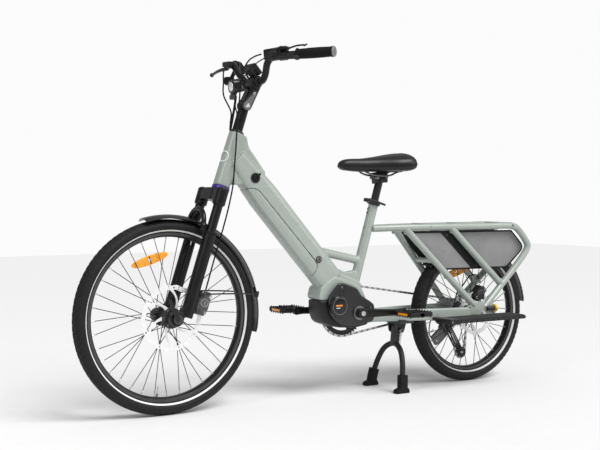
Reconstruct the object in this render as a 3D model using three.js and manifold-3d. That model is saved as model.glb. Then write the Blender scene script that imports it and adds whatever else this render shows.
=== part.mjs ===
// Cargo bicycle with a step-through battery frame, mid motor, suspension fork and a welded rear rack.
// Millimetres, +Z up. The front of the bicycle points to -X and the rider's left is -Y.
// The parts are laid out from the front axle (x = 0) and the whole is centred over the origin at the end.
import * as THREE from 'three';
import { mergeVertices } from 'three/addons/utils/BufferGeometryUtils.js';
import Module from 'manifold-3d';

const wasm = await Module();
wasm.setup();

// ---------------------------------------------------------------- driving dimensions
const wheelbase = 1243;
const gap = 0.3; // clearance kept between touching pieces

const frontWheel = { radius: 313, rimOuter: 272, rimInner: 256, hubHalf: 48, rotor: 104, segments: 36 };
const rearWheel = { radius: 259, rimOuter: 219, rimInner: 204, hubHalf: 66, rotor: 80, segments: 32 };
const tyreHalf = 28;
const spokeCount = 36;
const spokeSweep = 52; // degrees from the flange hole to the rim hole
const axleRadius = 6;

const headTilt = 18; // steering axis from the vertical, degrees
const crownSeat = [192.8, 719]; // x, z of the steering axis at the top of the fork crown
const headTube = { low: 12, high: 198, lowRadius: 29, highRadius: 25, bore: 18 };
const steererRadius = 14.3;
const legX = -23.6; // fork legs ahead of the steering axis
const legY = 65;
const stanchionRadius = 16;
const lowerRadius = 21;
const lowerTop = -156; // top of the sliding legs along the steering axis
const forkTravel = 60;

const downTube = { from: [243, 824], to: [615, 403], depth: 100, width: 74, corner: 24, taper: 170 };
const chargePort = [304.3, 758.7];
const keyLock = [552.8, 481.4];
const seatTube = { low: [716, 360], high: [808, 667], radius: 17.5, bore: 14.3 };
const seatpostRadius = 14;
const crankCentre = [707, 291];
const crankLength = 170;
const pedalY = 150;
const chainLine = 47;
const ringRadius = 93; // 46 teeth at half-inch pitch
const cogRadius = 40.4; // 20 teeth
const jockeyRadius = 22.2; // 11 teeth
const guideJockey = [1163, 243];
const tensionJockey = [1252, 100];
const cagePivot = [1194, 193];

const rackTube = 12.5; // radius of the rack tubes
const rackTop = 586;
const footboard = { from: 1002, to: 1362, inner: 108, outer: 200, low: 244, high: 262 };
const panelFront = 34; // half the distance between the side panels at their front edge
const panelSpread = 18; // how much each panel leans out over its length
const standPivot = [909, 213];
const standFold = { splitZ: 165, footX: 865, footY: 95 };

const barCentre = [324, 1079];
const barRadius = 11.5;
const barEnd = 310;
const stemPivotAlong = 293; // stem pivot along the steering axis
const display = { head: [303, 1131], foot: [325, 1106] };

// Hose and cable runs; the loom is given in the steering frame.
const frontHose = [[283, -116, 1156], [262, -112, 1148], [247, -103, 1137], [236, -90, 1114], [231, -75, 1080],
  [233, -62, 1027], [234, -52, 979], [232, -44, 914], [229, -41, 849], [225, -40, 800], [218, -42, 735],
  [202, -45, 670], [181, -50, 606], [150, -49, 510], [116, -46, 397]];
const controlLoom = [[-30, 20, 318], [-27, 15, 285], [-25, 10, 250], [-24, 6, 222], [-23.5, 3, 199.6]];
const rearHose = [[1112, -81, 291], [1128, -72, 322], [1150, -58, 345], [1175, -46, 356], [1198, -40, 374],
  [1222, -44, 400], [1246, -52, 402], [1260, -54, 384]];
const shiftCable = [[1146, 82, 244], [1136, 84, 222], [1131, 86, 196], [1133, 86, 170], [1145, 84.5, 150]];

// ---------------------------------------------------------------- materials
const finish = (color, roughness, metalness) => new THREE.MeshStandardMaterial({ color, roughness, metalness });
const paint = () => finish(0xa4ada5, 0.42, 0.1);
const black = () => finish(0x1d1d1e, 0.45, 0.2);
const gloss = () => finish(0x161617, 0.2, 0.1);
const rubber = () => finish(0x1b1b1b, 0.85, 0);
const plastic = () => finish(0x4a4a4b, 0.55, 0.05);
const steel = () => finish(0xc9cbcc, 0.3, 0.9);
const panelGrey = () => finish(0x979797, 0.7, 0);
const padding = () => finish(0x2c2c2d, 0.6, 0);

// ---------------------------------------------------------------- geometry helpers
const V = (x, y, z) => new THREE.Vector3(x, y, z);
const rad = THREE.MathUtils.degToRad;

function solid(geometry) {
  const bare = geometry.clone();
  bare.deleteAttribute('normal');
  bare.deleteAttribute('uv');
  const merged = mergeVertices(bare, 1e-4);
  return new wasm.Manifold(new wasm.Mesh({
    numProp: 3,
    vertProperties: new Float32Array(merged.attributes.position.array),
    triVerts: new Uint32Array(merged.index.array),
  }));
}

function geometryOf(body) {
  const mesh = body.getMesh();
  const geometry = new THREE.BufferGeometry();
  geometry.setAttribute('position', new THREE.BufferAttribute(new Float32Array(mesh.vertProperties), 3));
  geometry.setIndex(new THREE.BufferAttribute(new Uint32Array(mesh.triVerts), 1));
  geometry.computeVertexNormals();
  return geometry;
}

const join = (...parts) => geometryOf(parts.map(solid).reduce((a, b) => a.add(b)));
const cut = (from, ...tools) => geometryOf(tools.map(solid).reduce((a, b) => a.subtract(b), solid(from)));
const common = (a, b) => geometryOf(solid(a).intersect(solid(b)));

// Round bar from a to b, with its ends square to it.
function rod(a, b, radius, sides = 12, endRadius = radius) {
  const along = b.clone().sub(a);
  const geometry = new THREE.CylinderGeometry(endRadius, radius, along.length(), sides);
  geometry.applyQuaternion(new THREE.Quaternion().setFromUnitVectors(V(0, 1, 0), along.clone().normalize()));
  return geometry.translate((a.x + b.x) / 2, (a.y + b.y) / 2, (a.z + b.z) / 2);
}

// Round bar across the bicycle, from y0 to y1.
const crossRod = (x, z, radius, y0, y1, sides = 16) => rod(V(x, y0, z), V(x, y1, z), radius, sides);

// Round tube bent smoothly through the points.
function bent(points, radius, sides = 10, steps = 24) {
  const ring = new THREE.Shape();
  ring.absarc(0, 0, radius, 0, Math.PI * 2);
  const path = new THREE.CatmullRomCurve3(points, false, 'centripetal');
  return new THREE.ExtrudeGeometry(ring, { steps, curveSegments: sides / 2, bevelEnabled: false, extrudePath: path });
}

// Closed outline through [x, z, corner radius] points.
function outline(points) {
  const shape = new THREE.Shape();
  points.forEach(([x, z, r = 0], i) => {
    const here = new THREE.Vector2(x, z);
    const before = new THREE.Vector2(...points.at(i - 1));
    const after = new THREE.Vector2(...points[(i + 1) % points.length]);
    const start = here.clone().add(before.sub(here).setLength(r));
    const end = here.clone().add(after.sub(here).setLength(r));
    if (i === 0) shape.moveTo(start.x, start.y);
    else shape.lineTo(start.x, start.y);
    if (r > 0) shape.quadraticCurveTo(x, z, end.x, end.y);
  });
  return shape;
}

// Plate with an outline in the XZ plane, filling y0 to y1, its edges chamfered by bevel.
function plate(points, y0, y1, bevel = 0, curveSegments = 3) {
  const shape = points instanceof THREE.Shape ? points : outline(points);
  const geometry = new THREE.ExtrudeGeometry(shape, {
    depth: y1 - y0 - 2 * bevel, curveSegments, steps: 1,
    bevelEnabled: bevel > 0, bevelThickness: bevel, bevelSize: bevel, bevelOffset: -bevel, bevelSegments: 1,
  });
  return geometry.rotateX(Math.PI / 2).translate(0, y1 - bevel, 0);
}

// Bar of rounded rectangular section from a to b: height up the given direction, width across it.
function bar(a, b, height, width, corner, up = V(0, 0, 1), steps = 1) {
  const along = b.clone().sub(a);
  const z = along.clone().normalize();
  const x = up.clone().cross(z).normalize();
  const y = z.clone().cross(x);
  const h = height / 2;
  const w = width / 2;
  const section = outline([[-w, -h, corner], [w, -h, corner], [w, h, corner], [-w, h, corner]]);
  const geometry = new THREE.ExtrudeGeometry(section, {
    depth: along.length(), steps, curveSegments: 2, bevelEnabled: false,
  });
  geometry.applyMatrix4(new THREE.Matrix4().makeBasis(x, y, z));
  return geometry.translate(a.x, a.y, a.z);
}

// Body of revolution about a cross axis: the profile holds [radius, y] points.
const turned = (profile, segments = 24) =>
  new THREE.LatheGeometry([...profile, profile[0]].map(([r, y]) => new THREE.Vector2(r, y)), segments);
const box = (x0, x1, y0, y1, z0, z1) =>
  new THREE.BoxGeometry(x1 - x0, y1 - y0, z1 - z0).translate((x0 + x1) / 2, (y0 + y1) / 2, (z0 + z1) / 2);
const mirrored = (points) => points.map((p) => V(p.x, -p.y, p.z));

const bicycle = new THREE.Group();
const steering = new THREE.Group(); // local +Z runs up the steering axis, -X is ahead of it
steering.position.set(crownSeat[0], 0, crownSeat[1]);
steering.rotation.y = rad(headTilt);
bicycle.add(steering);

function add(name, geometry, material, parent = bicycle) {
  const mesh = new THREE.Mesh(geometry, material);
  mesh.name = name;
  parent.add(mesh);
  return mesh;
}

// Point of the steering group's frame in the bicycle's frame, and the other way round.
function fromSteering(x, y, z) {
  const t = rad(headTilt);
  return V(crownSeat[0] + x * Math.cos(t) + z * Math.sin(t), y, crownSeat[1] - x * Math.sin(t) + z * Math.cos(t));
}
function toSteering(x, y, z) {
  const t = rad(headTilt);
  const dx = x - crownSeat[0];
  const dz = z - crownSeat[1];
  return V(dx * Math.cos(t) - dz * Math.sin(t), y, dx * Math.sin(t) + dz * Math.cos(t));
}

// ---------------------------------------------------------------- wheels
function tyre({ radius, rimOuter, segments }) {
  const bead = rimOuter + gap;
  const belly = (radius + rimOuter) / 2;
  const side = [[bead, 14], [bead + 5, 23], [belly, tyreHalf], [radius - 9, 22], [radius, 8]];
  return turned([...side.map(([r, y]) => [r, -y]), ...side.toReversed()], segments);
}

function lacedWheel({ rimOuter, rimInner, hubHalf, segments }, flanges) {
  const rim = turned([[rimInner, -7], [rimInner + 5, -16], [rimOuter, -16],
    [rimOuter, 16], [rimInner + 5, 16], [rimInner, 7]], segments);
  const bore = axleRadius + gap;
  const [left, right] = flanges;
  const hub = turned([[bore, -hubHalf], [14, -hubHalf], [14, left - 3], [31, left - 3], [31, left + 3],
    [19, left + 6], [19, right - 6], [31, right - 3], [31, right + 3], [14, right + 3],
    [14, hubHalf], [bore, hubHalf]], 12);
  const spokes = [];
  for (let i = 0; i < spokeCount; i += 1) {
    const onLeft = i % 2 === 0;
    const lean = Math.floor(i / 2) % 2 === 0 ? 1 : -1;
    const outer = (i / spokeCount) * Math.PI * 2;
    const inner = outer + rad(spokeSweep) * lean;
    const y = (onLeft ? left : right) + 2 * lean; // crossing spokes pass side by side
    spokes.push(rod(V(28 * Math.cos(inner), y, 28 * Math.sin(inner)),
      V((rimInner + 2) * Math.cos(outer), lean * 1.6, (rimInner + 2) * Math.sin(outer)), 1.1, 3));
  }
  return join(rim, hub, ...spokes);
}

// Brake disc between y and y + 2.2, with a toothed-looking carrier of six arms.
function rotor(radius, y) {
  const ring = turned([[radius - 15, y], [radius, y], [radius, y + 2.2], [radius - 15, y + 2.2]], 24);
  const centre = turned([[16, y], [34, y], [34, y + 2.2], [16, y + 2.2]], 18);
  const arms = Array.from({ length: 6 }, (_, i) => {
    const a = (i / 6) * Math.PI * 2;
    const b = a + 0.42;
    return bar(V(30 * Math.cos(a), y + 1.1, 30 * Math.sin(a)),
      V((radius - 8) * Math.cos(b), y + 1.1, (radius - 8) * Math.sin(b)), 2.2, 9, 0, V(0, 1, 0));
  });
  return join(ring, centre, ...arms);
}

const frontAxle = V(0, 0, frontWheel.radius);
const rearAxle = V(wheelbase, 0, rearWheel.radius);
const at = (geometry, p) => geometry.translate(p.x, p.y, p.z);

add('front_tyre', at(tyre(frontWheel), frontAxle), rubber());
add('front_wheel', at(lacedWheel(frontWheel, [-20, 34]), frontAxle), black());
add('front_rotor', at(cut(rotor(frontWheel.rotor, -38.5), turned([[0, -60], [16.5, -60], [16.5, 0], [0, 0]], 18)),
  frontAxle), steel());
add('front_axle', at(crossRod(0, 0, axleRadius, -90, 90), frontAxle), steel());

add('rear_tyre', at(tyre(rearWheel), rearAxle), rubber());
add('rear_wheel', at(lacedWheel(rearWheel, [-34, 20]), rearAxle), black());
add('rear_rotor', at(rotor(rearWheel.rotor, -52), rearAxle), steel());
add('rear_axle', at(crossRod(0, 0, axleRadius, -106, 106), rearAxle), steel());

// ---------------------------------------------------------------- fork, in the steering frame
const axleAt = toSteering(frontAxle.x, 0, frontAxle.z);
{
  const crownBlock = bar(V(-43, 0, -23), V(2, 0, -23), 40, 62, 8, V(0, 0, 1));
  const parts = [crownBlock, rod(V(0, 0, -42), V(0, 0, -0.5), 27, 20), rod(V(0, 0, -2), V(0, 0, 262), steererRadius, 16)];
  for (const y of [-legY, legY]) {
    parts.push(rod(V(legX, y, -240), V(legX, y, -10), stanchionRadius, 12));
    parts.push(rod(V(legX, y, -58), V(legX, y, -4), 21.5, 14));
    parts.push(bar(V(legX, y * 0.3, -20), V(legX, y, -30), 34, 36, 8, V(0, 0, 1)));
  }
  add('fork_upper', join(...parts), black(), steering);
}
{
  const parts = [];
  for (const side of [-1, 1]) {
    const y = side * legY;
    parts.push(rod(V(legX, y, axleAt.z + 14), V(legX, y, lowerTop), lowerRadius, 14));
    parts.push(rod(V(axleAt.x, side * 52, axleAt.z), V(axleAt.x, side * 82, axleAt.z), 24, 14));
    parts.push(bar(V(legX, side * 66, axleAt.z + 60), V(axleAt.x + 6, side * 66, axleAt.z - 4), 26, 26, 6, V(0, 1, 0)));
    parts.push(bar(V(legX - 6, side * 60, lowerTop - 16), V(-50, side * 56, lowerTop + 24), 20, 20, 5, V(1, 0, 0)));
  }
  const arch = [V(-50, -58, lowerTop + 8), V(-53, -50, lowerTop + 46), V(-56, -24, lowerTop + 70),
    V(-56, 0, lowerTop + 74), V(-56, 24, lowerTop + 70), V(-53, 50, lowerTop + 46), V(-50, 58, lowerTop + 8)];
  parts.push(bent(arch, 9, 8, 12));
  const bores = [-legY, legY].map((y) => rod(V(legX, y, -310), V(legX, y, lowerTop + 60), stanchionRadius + 0.6, 12));
  const axleHole = rod(V(axleAt.x, -100, axleAt.z), V(axleAt.x, 100, axleAt.z), axleRadius + gap, 16);
  // The caliper posts behind the left leg.
  parts.push(bar(V(legX, -legY, -354), V(10.4, -56, -352), 18, 14, 3), bar(V(legX, -legY, -402), V(8.4, -56, -400), 16, 14, 3));
  add('fork_lower', cut(join(...parts), ...bores, axleHole), black(), steering);
}
{
  const body = bar(V(24, -44, -412), V(27, -44, -334), 26, 44, 5, V(1, 0, 0));
  const slot = turned([[0, -40.6], [frontWheel.rotor + 4, -40.6], [frontWheel.rotor + 4, -34.2], [0, -34.2]]);
  add('front_caliper', cut(body, slot.translate(axleAt.x, 0, axleAt.z)), black(), steering);
}

// ---------------------------------------------------------------- mudguards
// Arched strip of a ring between two angles, measured from +X towards +Z, in degrees.
function mudguard(crownRadius, halfWidth, drop, from, to, segments) {
  const t = 2.4;
  const outer = [[crownRadius - drop, -halfWidth], [crownRadius - drop * 0.3, -halfWidth * 0.66],
    [crownRadius, 0], [crownRadius - drop * 0.3, halfWidth * 0.66], [crownRadius - drop, halfWidth]];
  const inner = outer.toReversed().map(([r, y]) => [r - t, y * 0.97]);
  const far = crownRadius * 3;
  const sector = new THREE.Shape();
  sector.moveTo(0, 0);
  for (let i = 0; i <= 4; i += 1) {
    const a = rad(from + ((to - from) * i) / 4);
    sector.lineTo(far * Math.cos(a), far * Math.sin(a));
  }
  return common(turned([...outer, ...inner], segments), plate(sector, -halfWidth - 5, halfWidth + 5));
}
{
  const guard = mudguard(328, 34, 10, -12, 105, 50);
  const stays = [-1, 1].map((side) => bent([V(313, side * 31, 60), V(262, side * 56, 66), V(150, side * 69, 72),
    V(88, side * 72, 73)], 2.5, 6, 12));
  add('front_fender', at(join(guard, ...stays), frontAxle), gloss());
}
{
  const guard = mudguard(274, 31, 8, 6, 138, 46);
  const lug = bar(V(0, 0, 270), V(0, 0, 300), 30, 16, 2, V(1, 0, 0));
  add('rear_fender', at(join(guard, lug), rearAxle), gloss());
}

// ---------------------------------------------------------------- main frame
const downDirection = V(downTube.to[0] - downTube.from[0], 0, downTube.to[1] - downTube.from[1]).normalize();
const downNormal = V(-downDirection.z, 0, downDirection.x); // up and back, out of the tube's top
const downLength = Math.hypot(downTube.to[0] - downTube.from[0], downTube.to[1] - downTube.from[1]);

// Side outline of the removable battery: its seam drops from the tube's side to its underside.
const batterySeam = (grow) => [[226 - grow, 723 + grow], [314 + grow, 723 + grow, 16], [554 + grow * 1.4, 462, 20],
  [520 + grow, 404 - grow], [420, 410]];

function downTubeShell() {
  const steps = 10;
  const geometry = bar(V(0, 0, 0), V(0, 0, downLength), downTube.depth, downTube.width, downTube.corner, V(0, 1, 0), steps);
  const position = geometry.attributes.position;
  for (let i = 0; i < position.count; i += 1) {
    const share = Math.min(1, position.getZ(i) / downTube.taper);
    const blend = share * share * (3 - 2 * share);
    position.setY(i, position.getY(i) * (0.7 + 0.3 * blend));
  }
  const basis = new THREE.Matrix4().makeBasis(V(0, 1, 0), downNormal, downDirection);
  return geometry.applyMatrix4(basis).translate(downTube.from[0], 0, downTube.from[1]);
}
{
  const headLow = fromSteering(0, 0, headTube.low);
  const headHigh = fromSteering(0, 0, headTube.high);
  const head = rod(headLow, headHigh, headTube.lowRadius, 20, headTube.highRadius);
  const throat = plate([[262, 904], [281, 893], [286, 866], [293, 852], [310, 832], [352, 776], [300, 740],
    [232, 735], [225, 800]], -26, 26);
  const seatLow = V(seatTube.low[0], 0, seatTube.low[1]);
  const seatHigh = V(seatTube.high[0], 0, seatTube.high[1]);
  const seat = rod(seatLow, seatHigh, seatTube.radius, 20);
  const brace = rod(V(575, 0, 508), V(744, 0, 470), 15, 16);
  // Shell over the motor, narrowing in steps to the web under the seat tube.
  const motorShell = plate([[552, 349, 6], [560, 381, 6], [620, 418, 10], [700, 392, 14], [733, 372, 10],
    [757, 321, 10], [786, 320, 8], [786, 294.8], [757, 294.8], [740, 340], [560, 340]], -40, 40);
  const shoulder = plate([[570, 385], [628, 434, 8], [694, 411, 12], [738, 392, 10], [739, 341], [600, 346]], -30, 30);
  const web = plate([[590, 420], [637, 448, 4], [687, 430, 14], [720, 436], [738, 372, 8], [740, 345], [600, 360]],
    -17, 17);
  const boreLow = seatLow.clone().lerp(seatHigh, 0.25);
  const seatBore = rod(boreLow, seatHigh.clone().lerp(seatLow, -0.1), seatTube.bore + gap, 16);
  const headBore = rod(fromSteering(0, 0, -10), fromSteering(0, 0, 240), headTube.bore, 12);
  const pocket = plate([[300, 727], [346, 727], [570, 479], [484.8, 403.6], [225, 700]], -31, 31);
  const seam = plate(batterySeam(gap), -60, 60);
  const capHole = crossRod(...chargePort, 12, -60, -29.5, 20);
  const lockHole = crossRod(...keyLock, 8.5, -60, -30.9, 16);
  add('main_frame', cut(join(head, throat, downTubeShell(), seat, brace, motorShell, shoulder, web),
    seatBore, headBore, pocket, seam, capHole, lockHole), paint());

  // Battery: the painted lower shell of the down tube with the cell case standing on it, inside the tube.
  const shell = common(downTubeShell(), plate(batterySeam(-gap), -60, 60));
  const cells = plate([[305, 721], [342, 721, 4], [505, 542, 6], [524, 462, 6], [497.5, 466.5], [314.8, 673.2]], -30, 30);
  add('battery', join(shell, cells), paint());
  add('charge_port_cap', crossRod(...chargePort, 11.4, -42, -30, 20), rubber());
  add('key_lock', crossRod(...keyLock, 8, -40.5, -31.2, 16), steel());
}

// ---------------------------------------------------------------- rear frame and rack
function rearSide(side) {
  const at3 = (x, y, z) => V(x, side * y, z);
  const top = bent([at3(796, 13.4, 583), at3(856, 21, 584), at3(924, 34, 585), at3(1115, 55, rackTop), at3(1300, 68, rackTop),
    at3(1395, 72, rackTop), at3(1424, 72, 578), at3(1470, 72, 533), at3(1484, 72, 508), at3(1472, 72, 483),
    at3(1350, 74, 364), at3(1252, 86, 282)], rackTube, 8, 18);
  const strutFront = rod(at3(925, 34, 583), at3(1204, 88, 292), rackTube, 8);
  const strutRear = rod(at3(1118, 55, 584), at3(1347, 74, 366), rackTube, 8);
  const stay = [[757, 28, 273], [812, 30, 272], [960, 62, 270], [1180, 86, 267]].map((p) => at3(...p));
  const stays = stay.slice(1).map((p, i) => bar(stay[i], p, 42, 22, 7));
  const elbows = stay.slice(1, 3).map((p) => rod(V(p.x, p.y, p.z - 20.8), V(p.x, p.y, p.z + 20.8), 11, 10));
  const dropout = plate([[1165, 286, 6], [1200, 304, 8], [1288, 302, 9], [1306, 286, 9], [1306, 258, 9],
    [1292, 246, 7], [1180, 246, 6]], 80, 94, 2);
  if (side < 0) dropout.translate(0, -174, 0);
  return [top, strutFront, strutRear, ...stays, ...elbows, dropout];
}
const axleBore = crossRod(rearAxle.x, rearAxle.z, axleRadius + gap, -120, 120);
{
  // Cross pieces belong to the left side; grow makes the clearance for them in the right side.
  const crosses = (grow) => [crossRod(1042, 462, 10 + grow, -58, 58 + grow, 12),
    ...[[1024, 46], [1200, 60], [1397, 72]].map(([x, y]) =>
      bar(V(x, -y, rackTop + 5), V(x, y + grow, rackTop + 5), 16 + 2 * grow, 24 + 2 * grow, 3)),
    box(880 - grow, 945 + grow, -62, 62 + grow, 240 - grow, 256 + grow)];
  const standEars = [-24, 24].map((y) => plate([[888, 246], [940, 246], [924, 202, 9], [897, 202, 9]], y - 3.5, y + 3.5));
  const pivotHole = crossRod(...standPivot, 6.3, -40, 40, 14);
  const left = join(...rearSide(-1), ...crosses(0), ...standEars);
  const right = join(...rearSide(1));
  const seatRoom = rod(V(seatTube.low[0], 0, seatTube.low[1]), V(seatTube.high[0], 0, seatTube.high[1]),
    seatTube.radius + gap, 20);
  add('rear_frame_right', cut(right, axleBore, seatRoom, ...crosses(gap)), paint());
  add('rear_frame_left', cut(left, axleBore, seatRoom, pivotHole), paint());
}

// ---------------------------------------------------------------- rack panels and footboards
for (const [side, name] of [[-1, 'left'], [1, 'right']]) {
  // Flat board inside the rack tubes, leaning outwards towards the rear as they do.
  const board = plate([[-15, 569], [122, 426, 4], [438, 424, 10], [527, 502, 26], [460, 569]], -2.5, 2.5);
  board.rotateZ(side * Math.atan2(panelSpread, 527)).translate(960, side * panelFront, 0);
  const strutRoom = rod(V(925, side * 34, 583), V(1204, side * 88, 292), rackTube + 0.6, 16);
  add(`side_panel_${name}`, cut(board, strutRoom, crossRod(1042, 462, 10.6, -60, 60, 12)), panelGrey());

  const { from, to, inner, outer, low, high } = footboard;
  const [y0, y1] = side < 0 ? [-outer, -inner] : [inner, outer];
  const deck = plate([[from, low, 5], [to, low, 5], [to, high, 5], [from, high, 5]], y0, y1);
  // Brackets reach in under the deck to the chainstay and the dropout.
  const foot = (x, reach) => box(x, x + 28, Math.min(side * reach, side * (inner + 2)),
    Math.max(side * reach, side * (inner + 2)), low + 4, high);
  add(`footboard_${name}`, join(deck, foot(1012, 82.4), foot(1180, 94.4)), black());
}

// ---------------------------------------------------------------- double stand
{
  const [px, pz] = standPivot;
  const { splitZ, footX, footY } = standFold;
  const post = bar(V(px, 0, pz + 12), V(903, 0, splitZ - 12), 24, 32, 5, V(1, 0, 0));
  const legs = [-1, 1].map((side) => bent([V(904, 0, splitZ), V(900, side * 26, splitZ - 8), V(893, side * 52, 140),
    V(885, side * 72, 106), V(875, side * 86, 60), V(868, side * footY, 12)], 11, 8, 9));
  const feet = [-1, 1].map((side) => box(footX - 30, footX + 30, side * footY - 13, side * footY + 13, 0, 22));
  const pivotHole = crossRod(px, pz, 6.3, -40, 40, 14);
  add('kickstand', cut(join(post, ...legs, ...feet), pivotHole), black());
}

// ---------------------------------------------------------------- seat
{
  const low = V(seatTube.low[0], 0, seatTube.low[1]);
  const high = V(seatTube.high[0], 0, seatTube.high[1]);
  const up = high.clone().sub(low).normalize();
  const ahead = V(-up.z, 0, up.x);
  const onPost = (along, front = 0, y = 0) =>
    V(high.x + up.x * along + ahead.x * front, y, high.z + up.z * along + ahead.z * front);
  const collar = rod(onPost(gap), onPost(16), 23, 24);
  const ears = bar(onPost(2, 30), onPost(15, 30), 26, 20, 3, ahead);
  const bore = rod(onPost(-5), onPost(40), seatpostRadius + gap, 20);
  add('seat_clamp', cut(join(collar, ears), bore), black());
  // Cam lever beside the ears, folded back along the left of the collar.
  const cam = rod(onPost(3, 32, -19), onPost(14, 32, -19), 6.4, 14);
  const handle = bar(onPost(8.5, 33, -26.5), onPost(8.5, -28, -29), 10, 6, 2, up);
  add('seat_clamp_lever', join(cam, handle), black());

  const post = rod(onPost(-170), onPost(97), seatpostRadius, 20);
  const head = bar(V(808, 0, 766), V(862, 0, 766), 22, 40, 6);
  const rails = [-1, 1].map((side) => bent([V(748, side * 14, 792), V(772, side * 20, 780), V(800, side * 22, 773),
    V(866, side * 22, 773), V(890, side * 26, 783), V(908, side * 34, 790)], 3.5, 6, 9));
  const noseBridge = rod(V(748, -16, 792), V(748, 16, 792), 3.5, 8);
  add('seatpost', join(post, head, ...rails, noseBridge), black());

  // Saddle cushion lofted from nose to tail: station x, half width, underside and top.
  const stations = [[660, 14, 799, 809], [672, 22, 793, 823], [700, 28, 789, 829], [745, 34, 786, 831],
    [790, 46, 786, 836], [840, 70, 787, 843], [885, 90, 788, 850], [918, 95, 789, 854], [942, 84, 796, 849],
    [952, 64, 808, 838]];
  const unit = new THREE.Shape();
  unit.absarc(0, 0, 1, 0, Math.PI * 2);
  const cushion = new THREE.ExtrudeGeometry(unit, {
    depth: stations.length - 1, steps: stations.length - 1, curveSegments: 8, bevelEnabled: false,
  });
  const position = cushion.attributes.position;
  for (let i = 0; i < position.count; i += 1) {
    const [x, half, under, top] = stations[Math.round(position.getZ(i))];
    const across = Math.sign(position.getX(i)) * Math.abs(position.getX(i)) ** 0.7 * half;
    const raise = Math.sign(position.getY(i)) * Math.abs(position.getY(i)) ** 0.6;
    position.setXYZ(i, x, across, (under + top) / 2 + (raise * (top - under)) / 2 - 10 * (across / 100) ** 2);
  }
  const pockets = [box(738, 800, -30, 30, 770, 799), box(872, 918, -44, 44, 770, 797)];
  add('saddle', cut(cushion, ...pockets), padding());
}

// ---------------------------------------------------------------- motor and cranks
{
  const [cx, cz] = crankCentre;
  const housing = plate([[553, 339.6, 4], [552, 300, 16], [566, 262, 16], [620, 243, 24], [700, 238, 24],
    [751, 246, 5], [756.2, 262, 4], [756.2, 294.8], [739.2, 339.6]], -48, 34, 0, 4);
  const boss = crossRod(cx, cz, 24, 30, 40, 20);
  const spindleHole = crossRod(cx, cz, 11.4, -100, 100, 20);
  add('motor_unit', cut(join(housing, boss), spindleHole), black());

  // Moulded side cover, with its round cap on the left.
  const cover = plate([[580, 352, 8], [622, 398, 7], [644, 398, 7], [700, 378, 12], [716, 352, 6], [768, 322, 12],
    [776, 292, 10], [770, 258, 12], [700, 246, 20], [630, 252, 24], [583, 290, 24]], -60, -48 - gap, 3, 4);
  const cap = turned([[0, -70], [33, -70], [38, -66], [38, -56], [0, -56]], 20).translate(620, 0, 319.5);
  const hole = crossRod(cx, cz, 15, -100, 0, 20);
  add('motor_cover', cut(join(cover, cap), hole), plastic());

  const spindle = crossRod(cx, cz, 11, -66, 58, 12);
  const armLeft = bar(V(cx, -75, cz), V(cx + crankLength, -86, cz - 4), 26, 13, 5);
  const bossLeft = crossRod(cx, cz, 17, -85, -63, 16);
  const eyeLeft = crossRod(cx + crankLength, cz - 4, 14, -94, -80, 12);
  const pinLeft = crossRod(cx + crankLength, cz - 4, 4.5, -190, -84, 8);
  add('crank_left', join(spindle, armLeft, bossLeft, eyeLeft, pinLeft), black());

  const armRight = bar(V(cx, 75, cz), V(cx - crankLength, 86, cz + 4), 26, 13, 5);
  const bossRight = crossRod(cx, cz, 17, 58.6, 85, 16);
  const eyeRight = crossRod(cx - crankLength, cz + 4, 14, 80, 94, 12);
  const pinRight = crossRod(cx - crankLength, cz + 4, 4.5, 84, 190, 8);
  add('crank_right', join(armRight, bossRight, eyeRight, pinRight), black());

  const ringPlate = turned([[66, 45.5], [ringRadius - 5.2, 45.5], [ringRadius - 5.2, 48.5], [66, 48.5]], 34);
  const carrier = turned([[11.4, 42], [30, 42], [30, 50], [11.4, 50]], 20);
  const arms = Array.from({ length: 4 }, (_, i) => {
    const a = (i / 4) * Math.PI * 2 + 0.5;
    return bar(V(20 * Math.cos(a), 47, 20 * Math.sin(a)), V(70 * Math.cos(a), 47, 70 * Math.sin(a)), 3, 20, 0, V(0, 1, 0));
  });
  add('chainring', join(ringPlate, carrier, ...arms).translate(cx, 0, cz), black());

  for (const [side, name] of [[-1, 'left'], [1, 'right']]) {
    const x = cx - side * crankLength;
    const z = cz + side * 4;
    const [y0, y1] = side < 0 ? [-pedalY - 48, -96] : [96, pedalY + 48];
    const body = plate([[x - 48, z - 12, 6], [x + 48, z - 12, 6], [x + 48, z + 12, 6], [x - 48, z + 12, 6]], y0, y1);
    const windows = [[x - 38, x - 14], [x + 14, x + 38]].map(([a, b]) =>
      box(a, b, Math.min(side * 106, side * 188), Math.max(side * 106, side * 188), z - 20, z + 20));
    add(`pedal_${name}`, cut(body, ...windows, crossRod(x, z, 4.9, -191, 191, 12)), black());
  }
}

// ---------------------------------------------------------------- chain drive
// The chain's circles in order of travel; turn is -1 where the chain bends the other way.
const chainCircles = [
  { at: crankCentre, r: ringRadius, turn: 1 },
  { at: [rearAxle.x, rearAxle.z], r: cogRadius, turn: 1 },
  { at: tensionJockey, r: jockeyRadius, turn: 1 },
  { at: guideJockey, r: jockeyRadius, turn: -1 },
];

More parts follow.
